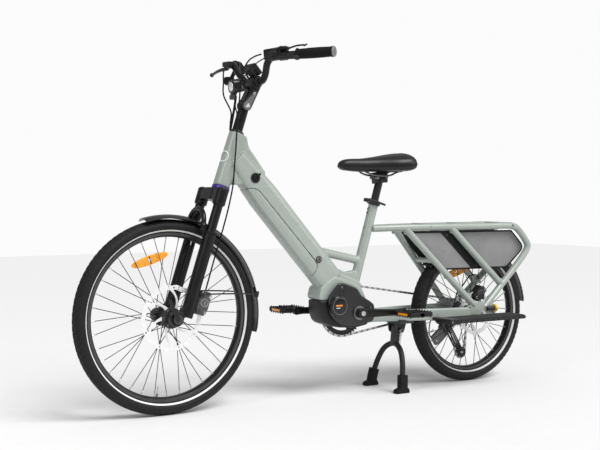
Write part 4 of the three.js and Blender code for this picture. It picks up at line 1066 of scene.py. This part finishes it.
for side, name in SIDES:
    cx, cz = pedal_centre(side)
    y0, y1 = span(side, 96, 198)
    mid = (y0 + y1) / 2
    b = Build()

    def flat(x, y, z):
        return (x, z, y)
    windows = [oblong(cx + a, mid - 41, cx + a + 25, mid + 41, 5, 4) for a in (-38, 13)]
    b.plate([oblong(cx - 48, y0, cx + 48, y1, 9, 6), *windows], cz - 8, cz + 8, 2.2, 0, flat, 3)
    for k in range(6):
        for dx in (-43, 43, -9, 9):
            for s in (-1, 1):
                y = y0 + 12 + k * 15.6
                b.rod((cx + dx, y, cz + s * 7.6), (cx + dx, y, cz + s * 11.8), 2.4, 10, 0, 0.5)
    for s in (-1, 1):
        b.block((cx + s * 47.2, mid, cz), (54, 2.4, 8.5), 1.2, 1, RIGHT, UP)
    b.turned([(0.6, 0), (9, 0), (10, 1), (10, 4)], (cx, y1 if side > 0 else y0, cz), (0, -side, 0), 28, 0)
    piece(f"pedal_block_{name}", b, [PLASTIC, AMBER], f"pedal_{name}", [f"pedal_{name}"])

# ---- chain, sprockets and derailleur
# Centre, radius and sense of each wheel that the chain goes round.
CIRCLES = [(CRANK, 93, 1), (REAR_HUB, 40.4, 1), (TENSION_JOCKEY, 22.2, 1), (GUIDE_JOCKEY, 22.2, -1)]


def chain_line():
    """The chain's closed line: its tangents and the arcs round its circles, as points 1 mm apart or so."""
    runs = []
    for i, (a, ra, ta) in enumerate(CIRCLES):
        c, rc, tc = CIRCLES[(i + 1) % len(CIRCLES)]
        dx, dz = c[0] - a[0], c[1] - a[1]
        normal = atan2(dz, dx) + pi / 2 - asin((ta * ra - tc * rc) / hypot(dx, dz))
        n = (cos(normal), sin(normal))
        runs.append(((a[0] + n[0] * ra * ta, a[1] + n[1] * ra * ta), (c[0] + n[0] * rc * tc, c[1] + n[1] * rc * tc)))
    line = []
    for i, (c, r, turn) in enumerate(CIRCLES):
        arrive, leave = runs[i - 1][1], runs[i][0]
        a0 = atan2(arrive[1] - c[1], arrive[0] - c[0])
        a1 = atan2(leave[1] - c[1], leave[0] - c[0])
        if turn > 0 and a1 > a0:
            a1 -= TAU
        if turn < 0 and a1 < a0:
            a1 += TAU
        steps = max(4, int(abs(a1 - a0) * r))
        line += [polar(*c, r, a0 + (a1 - a0) * k / steps) for k in range(steps + 1)]
    return line


line = chain_line()
lengths = [0.0]
for p, q in zip(line, line[1:] + line[:1]):
    lengths.append(lengths[-1] + hypot(q[0] - p[0], q[1] - p[1]))
links = round(lengths[-1] / CHAIN_PITCH / 2) * 2
pitch = lengths[-1] / links


def on_line(s):
    """The point a distance s along the chain's line."""
    s %= lengths[-1]
    i = bisect_right(lengths, s) - 1
    f = (s - lengths[i]) / max(1e-9, lengths[i + 1] - lengths[i])
    p, q = line[i], line[(i + 1) % len(line)]
    return (p[0] + (q[0] - p[0]) * f, p[1] + (q[1] - p[1]) * f)


def waisted(a, c, r):
    """Link plate outline, narrow between its two pins."""
    out = slot_outline(a, c, r, r, 6)
    mx, mz = (a[0] + c[0]) / 2, (a[1] + c[1]) / 2
    n = Vector((-(c[1] - a[1]), c[0] - a[0])).normalized()
    half = len(out) // 2
    over, under = ((mx + n.x * r * s, mz + n.y * r * s) for s in (0.66, -0.66))
    return [*out[:half], over, *out[half:], under]


upper, lower = Build(), Build()
for i in range(links):
    a, c = on_line(i * pitch), on_line((i + 1) * pitch)
    mx, mz = (a[0] + c[0]) / 2, (a[1] + c[1]) / 2
    by_guide = hypot(mx - GUIDE_JOCKEY[0], mz - GUIDE_JOCKEY[1]) < 30
    target = lower if by_guide or (mz < 262 and mx > 715 and not (mx > 1203 and mz > 190)) else upper
    spread = 3.2 if i % 2 else 2.2
    for s in (-1, 1):
        y0, y1 = sorted((CHAIN_Y + s * spread, CHAIN_Y + s * (spread - 0.9)))
        target.plate([waisted(a, c, 4.1)], y0, y1, 0.2, i % 2, None, 1)
    target.rod((a[0], 43.4, a[1]), (a[0], 50.6, a[1]), 1.7, 8, 0, 0.2)
    target.rod((a[0], 45.4, a[1]), (a[0], 48.6, a[1]), 3.6, 10, 1, 0.2)
piece("chain_links_upper", upper, [BLACK, STEEL], "frame", ["chain"], 40)
made = piece("chain_links_lower", lower, [BLACK, STEEL], None, (), 40)
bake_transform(made)

b = Build()
for teeth, r, y in ((12, 27.5, 58.4), (15, 34, 53.6), (20, 38.2, 48.2), (26, 50, 41.2), (32, 57, 36.2)):
    holes = hole_circle(*REAR_HUB, r * 0.66, 6, r * 0.13) if r > 36 else []
    sprocket = [toothed(REAR_HUB, r, teeth, 4.4, 0.1 * r), *holes, ring_outline(*REAR_HUB, 16)]
    b.plate(sprocket, y - 1.9, y - 0.2, 0.25, 0, None, 1)
b.turned([(14.8, 33), (24, 33), (24, 60), (21, 61), (14.8, 61)], at(REAR_HUB), segments=40, mat=1, closed=True)
piece("cassette_sprockets", b, [STEEL, DARK_STEEL], "cassette", ["cassette"], 34)
for name, c in (("upper", GUIDE_JOCKEY), ("lower", TENSION_JOCKEY)):
    b = Build()
    wheel = [toothed(c, 20.4, 11, 4.2), *hole_circle(*c, 11, 5, 2.4), ring_outline(*c, 4.4, 20)]
    b.plate(wheel, 45.2, 48.8, 0.4, 0, None, 1)
    b.turned([(4.4, 44.4), (8.6, 44.4), (9.4, 45), (9.4, 49), (8.6, 49.6), (4.4, 49.6)], at(c), RIGHT, 32, 1, True)
    piece(f"jockey_wheel_{name}", b, [DARK_STEEL, STEEL], f"jockey_{name}", [f"jockey_{name}"], 34)
b = Build()
disc = [ring_outline(*TENSION_JOCKEY, 19.5, 32)]
disc += [slot_outline(*[polar(*TENSION_JOCKEY, 13.5, TAU * k / 5 + d) for d in (-0.25, 0.25)], 3, 3,
                      5) for k in range(5)]
window = slot_outline((1183, 211), (1232, 132), 5.5)
for y0, y1, wide, mat, out in ((53.2, 55.6, 13.4, 0, 0.3), (38.4, 40.8, 11, 2, -0.3)):
    b.plate([slot_outline(GUIDE_JOCKEY, TENSION_JOCKEY, wide, wide, 12), window], y0, y1, 0.7, mat)
    b.plate(disc, y0 + out, y1 + out, 0.6, 2)
for c in (GUIDE_JOCKEY, TENSION_JOCKEY):
    b.rod(at(c, 38.6), at(c, 56.8), 4, 20, 1)
    b.bolt(at(c, 55.4), RIGHT, 5.6, 2, 1)
    b.rod(at(c, 37.2), at(c, 38.8), 5.6, 20, 1, 0.4)
piece("cage_plates", b, [DARK_STEEL, STEEL, BLACK], "cage", ["derailleur_cage"])
b = Build()
hanger = rounded([(1221, 246, 6), (1221, 214, 8), (1228, 193, 8), (1240, 193, 8), (1248, 212, 8), (1248, 246, 6)], 5)
b.plate([hanger], 84.4, 94, 1.6, 1)
b.turned([(1, 0), (14, 0), (16, 2), (16, 22), (14, 25), (7, 26), (6, 23), (1, 23)], (1232, 72.4, 208), RIGHT, 40, 0)
b.sweep([(1233, 86, 209), (1213, 83, 200), (1193, 79, 192)], oblong(-10, -12, 10, 12, 4, 4), 0, UP)
arm = rounded([(-12, -13, 6), (12, -13, 6), (9, 13, 6), (-9, 13, 6)], 4)
b.sweep([(1201, 88, 187), (1176, 87, 171), (1149, 84, 152)], arm, 0, UP)
b.turned([(1, 0), (15, 0), (17, 2), (17, 33), (15, 35.4), (8, 35.4), (7, 32), (1, 32)], (1194, 56.8, 193), RIGHT, 44, 0)
parallelogram = rounded([(1128, 156, 7), (1146, 128, 9), (1172, 140, 8), (1204, 168, 10), (1216, 196, 8),
                         (1190, 204, 10), (1152, 182, 8)], 5)
b.plate([parallelogram], 62, 74, 3, 3)
knuckle = rounded([(1140, 240, 6), (1150, 214, 8), (1184, 200, 8), (1206, 214, 8), (1198, 236, 8), (1164, 250, 6)], 5)
b.plate([knuckle], 62, 71, 2.6, 0)
for x, z in ((1148, 148), (1196, 190), (1158, 232), (1190, 216)):
    b.bolt((x, 62.4, z), LEFT, 4.6, 3, 2)
b.turned([(1, 0), (17, 0), (19, 2), (19, 6), (17, 8), (9, 8.6), (8, 7), (1, 7)], at(GUIDE_JOCKEY, 57.4), segments=36)
for x, z in ((1221, 203), (1205, 196), (1187, 178), (1163, 161)):
    b.rod((x, 74, z), (x, 99.4, z), 3, 16, 2)
piece("derailleur_body_cast", b, [GREY_PLASTIC, CAST, STEEL, MID_GREY], "frame", ["derailleur_body"])

# ---- brakes and hoses
moulded("rear_caliper", "rear_caliper_cast", CAST, "frame", 1.2, 3)
moulded("front_caliper", "front_caliper_cast", DARK_STEEL, "fork_slider", 1.2, 3)


def caliper_detail(name, body, place, turn, mats):
    """Outer half of a caliper with its piston cap, fins and bridge bolts; place takes along, out and across."""
    b = Build()
    shell = rounded([(-38, -15, 9), (-22, -21, 8), (22, -21, 8), (38, -15, 9), (37, 12, 8), (20, 20, 8),
                     (-20, 20, 8), (-37, 12, 8)], 5)
    b.plate([shell], -3, 6, 2.6, 0, lambda x, y, z: place(x, -y, z))
    middle = Vector(place(0, 0, 0))
    out, across = Vector(place(0, -1, 0)) - middle, Vector(place(0, 0, 1)) - middle
    b.turned([(0.8, 3.4), (9, 3.4), (9.6, 4.6), (11.6, 5.6), (14.6, 4.6), (16, 1.6), (16.4, -2)], place(-2, -4, 0),
             out, 44, 1)
    b.block(place(-2, -8.6, 0), (12, 2.2, 2.6), 0.6, 2, turn, out)
    for x in (-30, 27):
        b.bolt(place(x, -5.6, -4 if x < 0 else 5), out, 5, 3.4, 2)
    for k in range(3):
        b.block(place(17 + 5 * k, -7, -2), (24 - 4 * k, 2, 1.7), 0.6, 1, across, out)
    b.rod(place(-26, -2, 15), place(-26, -8.4, 15), 6, 24, 2)
    b.rod(place(31, -1, 14), place(31, -7, 14), 3.4, 18, 2)
    piece(name, b, mats, body)


def on_front_caliper(x, y, z):
    return steer(25.5 + z, -57 + y, -373 - x)


def on_rear_caliper(x, y, z):
    return (1248 + 0.707 * (x * 0.8 + z * 0.8), -69 + y, 334 + 0.707 * (x * 0.8 - z * 0.8))


caliper_detail("front_caliper_half", "fork_slider", on_front_caliper, HEAD_AXIS, [DARK_STEEL, MID_GREY, STEEL])
caliper_detail("rear_caliper_half", "frame", on_rear_caliper, (1, 0, 1), [CAST, GREY_PLASTIC, DARK_STEEL])
b = Build()
b.rod((1260, -56, 372), (1260, -54, 386), 4, 20, 0)
piece("rear_banjo", b, DARK_STEEL, "frame")


def hose(name, points, r, node, body, blend=None):
    """Cord along a curve through the points. blend holds two bodies and where one gives way to the other; these are not
    used, and a given blend only bakes the cord's placement into its mesh.
    """
    path = smooth_path(points, 10)
    b = Build()
    b.tube(path, r, 14, straight=True)
    made = piece(name, b, RUBBER, body, [node] if node else (), 60)
    if blend:
        metres(blend[2])
        metres(blend[3])
        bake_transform(made)
    real = [Vector(metres(p)) for p in path]
    metres(points[0])


FRONT_HOSE = [(283, -116, 1156), (262, -112, 1148), (247, -103, 1137), (236, -90, 1114), (231, -75, 1080),
              (233, -62, 1027), (234, -52, 979), (232, -44, 914), (229, -41, 849), (225, -40, 800), (218, -42, 735),
              (202, -45, 670), (181, -50, 606), (150, -49, 510), (116, -46, 397)]
hose("front_hose_upper", FRONT_HOSE[:9], 2.5, "front_brake_hose", None,
     ("cockpit", "steering", (262, -112, 1120), (232, -44, 900)))
hose("front_hose_lower", FRONT_HOSE[8:], 2.5, None, None,
     ("steering", "fork_slider", (225, -40, 820), (181, -50, 600)))
LOOM = [steer(-30, 20, 318), steer(-27, 15, 285), steer(-25, 10, 250), steer(-24, 6, 222), steer(-23.5, 3, 199.6)]
hose("loom_sleeve", LOOM, 4, "control_loom", None, ("cockpit", "steering", LOOM[0], LOOM[2]))
RIGHT_RUN = [(288, 112, 1143), (268, 100, 1136), (250, 84, 1116), (238, 62, 1080), (228, 42, 1034),
             steer(-29, 24, 262), steer(-25, 15, 226), steer(-20, 12, 199.8)]
hose("right_hose", RIGHT_RUN, 2.5, None, None, ("cockpit", "steering", (250, 84, 1116), RIGHT_RUN[5]))
LEFT_RUN = [(300, -112, 1146), (282, -92, 1132), (262, -64, 1104), (246, -42, 1064), (231, -30, 1010),
            steer(-28, -22, 250), steer(-24, -15, 222), steer(-20, -12, 199.8)]
hose("left_lead", LEFT_RUN, 2.0, None, None, ("cockpit", "steering", (262, -64, 1104), LEFT_RUN[5]))
hose("rear_hose", [(1112, -81, 291), (1128, -72, 322), (1150, -58, 345), (1175, -46, 356), (1198, -40, 374),
                   (1222, -44, 400), (1246, -52, 402), (1260, -54, 384)], 2.5, "rear_hose_tail", "frame")
hose("shift_housing", [(1146, 82, 244), (1136, 84, 222), (1131, 86, 196), (1133, 86, 170), (1145, 84.5, 150)], 2.2,
     "shift_cable_tail", "frame")

# ---- fork
moulded("fork_upper", "fork_crown_cast", BLACK, "steering", 2.0, 6)
moulded("fork_lower", "fork_sliders_cast", BLACK, "fork_slider", 2.0, 6)
b = Build()
for s in (-1, 1):
    b.turned([(16.4, 0), (21.2, 0), (22.2, 1), (22.2, 5), (20, 7.5), (16.6, 8)], steer(-23.6, s * 65, -158), HEAD_AXIS,
             48, 0, True)
piece("fork_wipers", b, RUBBER, "fork_slider")
b = Build()
for s in (-1, 1):
    b.turned([(0.6, 0), (15.2, 0), (16.4, 1.2), (16.4, 3.4), (12, 5.2), (11, 3.8), (0.6, 3.8)],
             steer(-23.6, s * 65, -4.6), HEAD_AXIS, 44, 0)
piece("fork_top_caps", b, CAST, "steering")

# ---- stem
moulded("stem_riser", "stem_riser_turned", BLACK, "steering", 1.4, 4)
moulded("stem_arm", "stem_arm_cast", BLACK, "cockpit", 1.5, 4)
px, pz = STEM_PIVOT
b = Build()
for s in (-1, 1):
    b.turned([(0.8, 0), (12.6, 0), (13.6, 0.8), (13.6, 2.2), (12.8, 3.2), (0.8, 3.4)], at(STEM_PIVOT, s * 19.6),
             (0, s, 0), 44)
    b.plate([slot_outline(STEM_PIVOT, (312, 1040), 17.5, 11, 12)], *span(s, 18.6, 20.6), 0.8, 2)
    b.plate([slot_outline((px + 1, pz + 2), (309, 1034), 12.5, 6, 12)], *span(s, 20.2, 21.6), 0.6)
    b.bolt((311, s * 20.4, 1039), (0, s, 0), 5.4, 3, 3)
    mark = rounded([(px - 8, pz - 6, 1), (px + 9, pz - 4, 1), (px + 3, pz + 9, 1)], 3)
    b.plate([mark], *span(s, 22.6, 23.6), 0.3, 1)
piece("stem_pivot_caps", b, [MID_GREY, STRIP, GREY_PLASTIC, STEEL], "cockpit")
b = Build()
b.block((333.5, 0, 1055), (38, 30, 3), 1.4, 0, (0.45, 0, 0.89), (0.89, 0, -0.45))
for s in (-1, 1):
    b.bolt((335, s * 13, 1063.5), (0.8, 0, -0.6), 3.4, 2.6, 1)
    b.bolt((331, s * 13, 1094.5), (0.6, 0, 0.8), 3.4, 2.6, 1)
piece("stem_face", b, [MID_GREY, DARK_STEEL], "cockpit")

# ---- handlebar, grips and controls
BAR = [(324, 0, 1079), (325, -48, 1079), (319, -78, 1097), (310, -110, 1132), (316, -132, 1147), (338, -165, 1151),
       (366, -200, 1152.6), (404, -255, 1153.5), (440, -307, 1154.4)]
b = Build()
path = smooth_path([(x, y, z) for x, y, z in reversed(BAR)], 6)
path += [Vector((p.x, -p.y, p.z)) for p in reversed(path[:-1])]
b.tube(path, 11.5, 28, 0, straight=True)
b.turned([(11, -34), (13.5, -33), (15.9, -24), (15.9, 24), (13.5, 33), (11, 34)], (324, 0, 1079), RIGHT, 48)
piece("handlebar_bent", b, BLACK, "cockpit", ["handlebar"])
for s, name in SIDES:
    b = Build()
    a, c = Vector((366, s * 200, 1152.6)), Vector((440.5, s * 307, 1154.4))
    axis = c - a
    total = axis.length
    profile = [(12, 0), (18.4, 0), (19.2, 1), (19.2, 3.4), (17.6, 4.6)]
    ribs = 30
    step = (total - 20) / ribs
    for i in range(ribs):
        y = 6 + (total - 20) * i / ribs
        swell = 1.2 * sin(pi * i / ribs)
        profile += [(r + swell, y + step * f) for r, f in ((15.4, 0), (16.0, 0.2), (16.0, 0.7), (15.3, 0.9))]
    profile += [(16.8, total - 12), (17.4, total - 10), (17.4, total - 5), (12, total - 5)]
    b.turned(profile, a, axis, 56)
    b.turned([(1, 0), (16.6, 0), (17.2, 0.8), (17.0, 3.6), (15, 5.4), (1, 5.8)], a + axis.normalized() * (total - 5.2),
             axis, 48, 1)
    piece(f"grip_ribbed_{name}", b, [RUBBER, MID_GREY], "cockpit", [f"grip_{name}"], 30)
    moulded(f"brake_perch_{name}", f"brake_perch_{name}_cast", CAST, "cockpit", 1.3, 4)
    b = Build()
    blade = smooth_path([(300, s * 160, 1137), (298, s * 190, 1136), (300, s * 225, 1134), (306, s * 262, 1131),
                         (309, s * 286, 1128.6)])
    b.sweep(blade, lambda t: squircle(3.6 + 1.4 * abs(t - 0.45), 6.6 - 1.6 * t), 0, UP)
    b.rod((300, s * 160, 1132.2), (300, s * 160, 1142.4), 8.8, 32)
    b.turned([(0.8, -7), (4, -6.6), (6.6, -4.4), (7.8, 0), (6.6, 4.4), (4, 6.6), (0.8, 7)], (310, s * 289, 1128),
             (0.2, s, -0.05), 28)
    b.bolt((300, s * 160, 1131.8), (0, 0, -1), 3.6, 2, 1)
    piece(f"brake_blade_{name}", b, [BLACK, DARK_STEEL], f"brake_lever_{name}", [f"brake_lever_{name}"])
moulded("shifter", "shifter_pod", PLASTIC, "cockpit", 1.3, 3)
b = Build()
paddle = smooth_path([(329, 178, 1079), (342, 198, 1078), (355, 219, 1079)], 6)
b.sweep(paddle, lambda t: squircle(7.6 - 2 * t, 3.9), 0, UP)
b.rod((330, 180, 1075.4), (330, 180, 1083), 7, 24)
piece("shift_paddle", b, PLASTIC, "shift_trigger", ["shift_trigger"])

# Remote keypad on the left of the bar.
b = Build()
b.block((322, -134, 1156), (62, 44, 36), 6, 0, (0.55, -0.83, 0.1))
b.block((331, -178, 1172), (30, 30, 9), 4, 0, (0.5, -0.86, 0))
b.block((398, -199, 1184), (14, 6, 5), 2, 0, (0.6, -0.6, 0.4))
b.tube([(344, -186, 1171), (368, -196, 1180), (394, -199, 1184)], 3, 14, 0)
for x, y in ((324, -173), (333, -182)):
    b.rod((x, y, 1176), (x, y, 1178.4), 4.2, 24, 1)
piece("keypad_left", b, [PLASTIC, GREY_PLASTIC], "cockpit")

DISPLAY_TOP, DISPLAY_LOW = Vector((303, 0, 1131)), Vector((325, 0, 1106))
DISPLAY_DOWN = (DISPLAY_LOW - DISPLAY_TOP).normalized()
DISPLAY_OUT = Vector((-DISPLAY_DOWN.z, 0, DISPLAY_DOWN.x))
b = Build()


def on_display(x, y, z):
    return DISPLAY_TOP + DISPLAY_DOWN * z + DISPLAY_OUT * y + Vector((0, x, 0))


length = (DISPLAY_LOW - DISPLAY_TOP).length
face = oblong(-37, -4, 37, length + 5, 8, 6)
key = ring_outline(0, length * 0.7, 6.5, 28)
b.plate([face], -6.8, 2, 2.4, 0, on_display, 4)
b.plate([face, key], 1.6, 6.8, 1.4, 0, on_display, 3)
glass = rounded([(-32, 0, 5), (32, 0, 5), (32, length * 0.46, 3), (-32, length * 0.46, 3)], 5)
b.plate([glass], 6.4, 7.1, 0.3, 1, on_display, 1)
piece("display_case", b, [PLASTIC, GLASS], "display", ["display"])
b = Build()
b.turned([(0.8, 0), (5.9, 0), (5.9, 4.2), (5.1, 5), (0.8, 5.1)], on_display(0, 4, length * 0.7), DISPLAY_OUT, 32)
piece("mode_key", b, RUBBER, "mode_button", ["mode_button"])
b = Build()
for s in (-1, 1):
    b.tube([(318, s * 27, 1090), (309, s * 27, 1100), (304, s * 25, 1112)], 3.4, 14, 0)
    b.turned([(12, -3), (15.6, -3), (16.4, -2), (16.4, 2), (15.6, 3), (12, 3)], (324, s * 27, 1079), RIGHT, 40, 0, True)
piece("display_arms", b, PLASTIC, "display")

LAMP_A, LAMP_B = Vector((233, 0, 1059)), Vector((282, 0, 1064))
b = Build()
lamp_axis = (LAMP_B - LAMP_A).normalized()
over_axis = lamp_axis.cross(Vector(RIGHT))


def lamp_ring(centre, section, k=1.0):
    return [centre + Vector((0, a * k, 0)) + over_axis * (c * k) for a, c in section]


shell = [(0.0, 20.5, 18.5), (0.03, 22.6, 20.6), (0.12, 23.6, 21.6), (0.5, 23.6, 21.6), (0.85, 20.5, 18.8),
         (0.96, 15.5, 14), (1.0, 11, 10)]
b.loft([lamp_ring(LAMP_A.lerp(LAMP_B, f), squircle(w, h, 0.62, 0.62, 40)) for f, w, h in shell])
lens = [(0.6, 1.0), (-0.6, 1.0), (-2.4, 0.9), (-4.2, 0.62), (-5.0, 0.3), (-5.2, 0.05)]
b.loft([lamp_ring(LAMP_A + lamp_axis * (d + 0.4), squircle(15, 15.2, 0.9, 0.9, 40), k) for d, k in lens], 1)
b.sweep([(243, 0, 1042), (242.5, 0, 1030), (243, 0, 1018)], oblong(-10, -8, 10, 8, 4, 4), 0, BACK)
b.block((239.5, 0, 1024), (15, 21, 16), 3, 2)
for k in range(4):
    b.block((252 + k * 7, 0, 1084.3 - 0.3 * k), (2.4, 26, 1.6), 0.5, 2)
piece("headlamp_shell", b, [GLOSS, LENS, GREY_PLASTIC], "headlight", ["headlight"])
b = Build()
b.tube([(318, 0, 1063), (300, 0, 1060), (284, 0, 1061)], 5, 16)
piece("headlamp_mount", b, PLASTIC, "cockpit")

# ---- floor and light
floor_mesh = bpy.data.meshes.new("floor")
floor_mesh.from_pydata([(-9, -9, 0), (9, -9, 0), (9, 9, 0), (-9, 9, 0)], [], [(0, 1, 2, 3)])
floor = new_object("floor", floor_mesh)
floor_mesh.materials.append(finish_of("pale_floor", (0.84, 0.84, 0.84), 0.8, 0, 60, 0.01, 0.01))

world = bpy.data.worlds.new("studio")
bpy.context.scene.world = world
world.use_nodes = True
# The camera sees the sky as bright as the floor, and the object is lit by a darker one.
nodes, link = world.node_tree.nodes, world.node_tree.links.new
either = nodes.new("ShaderNodeMixShader")
link(nodes.new("ShaderNodeLightPath").outputs["Is Camera Ray"], either.inputs[0])
for i, (sky, strength) in enumerate(((nodes["Background"], 0.42), (nodes.new("ShaderNodeBackground"), 0.97))):
    sky.inputs["Color"].default_value = (1, 1, 1, 1)
    sky.inputs["Strength"].default_value = strength
    link(sky.outputs[0], either.inputs[i + 1])
link(either.outputs[0], nodes["World Output"].inputs["Surface"])


def soft_light(name, place, aim, size, power):
    data = bpy.data.lights.new(name, "AREA")
    data.shape = "RECTANGLE"
    data.size, data.size_y = size
    data.energy = power
    light = new_object(name, data)
    light.location = place
    aimed(light, Vector(aim) - Vector(place))


soft_light("window", (-2.6, -1.2, 2.2), (0, 0, 0.5), (0.5, 1.6), 14)
soft_light("side", (3.0, -2.4, 1.9), (0.3, 0, 0.5), (0.4, 1.8), 16)
sun = bpy.data.lights.new("sky", "SUN")
sun.energy = 2.6
sun.angle = radians(34)
overhead = new_object("sky", sun)
overhead.location = (1, -1, 4)
aimed(overhead, Vector((-0.22, 0.6, -0.85)))
bpy.context.scene.view_settings.view_transform = "Standard"
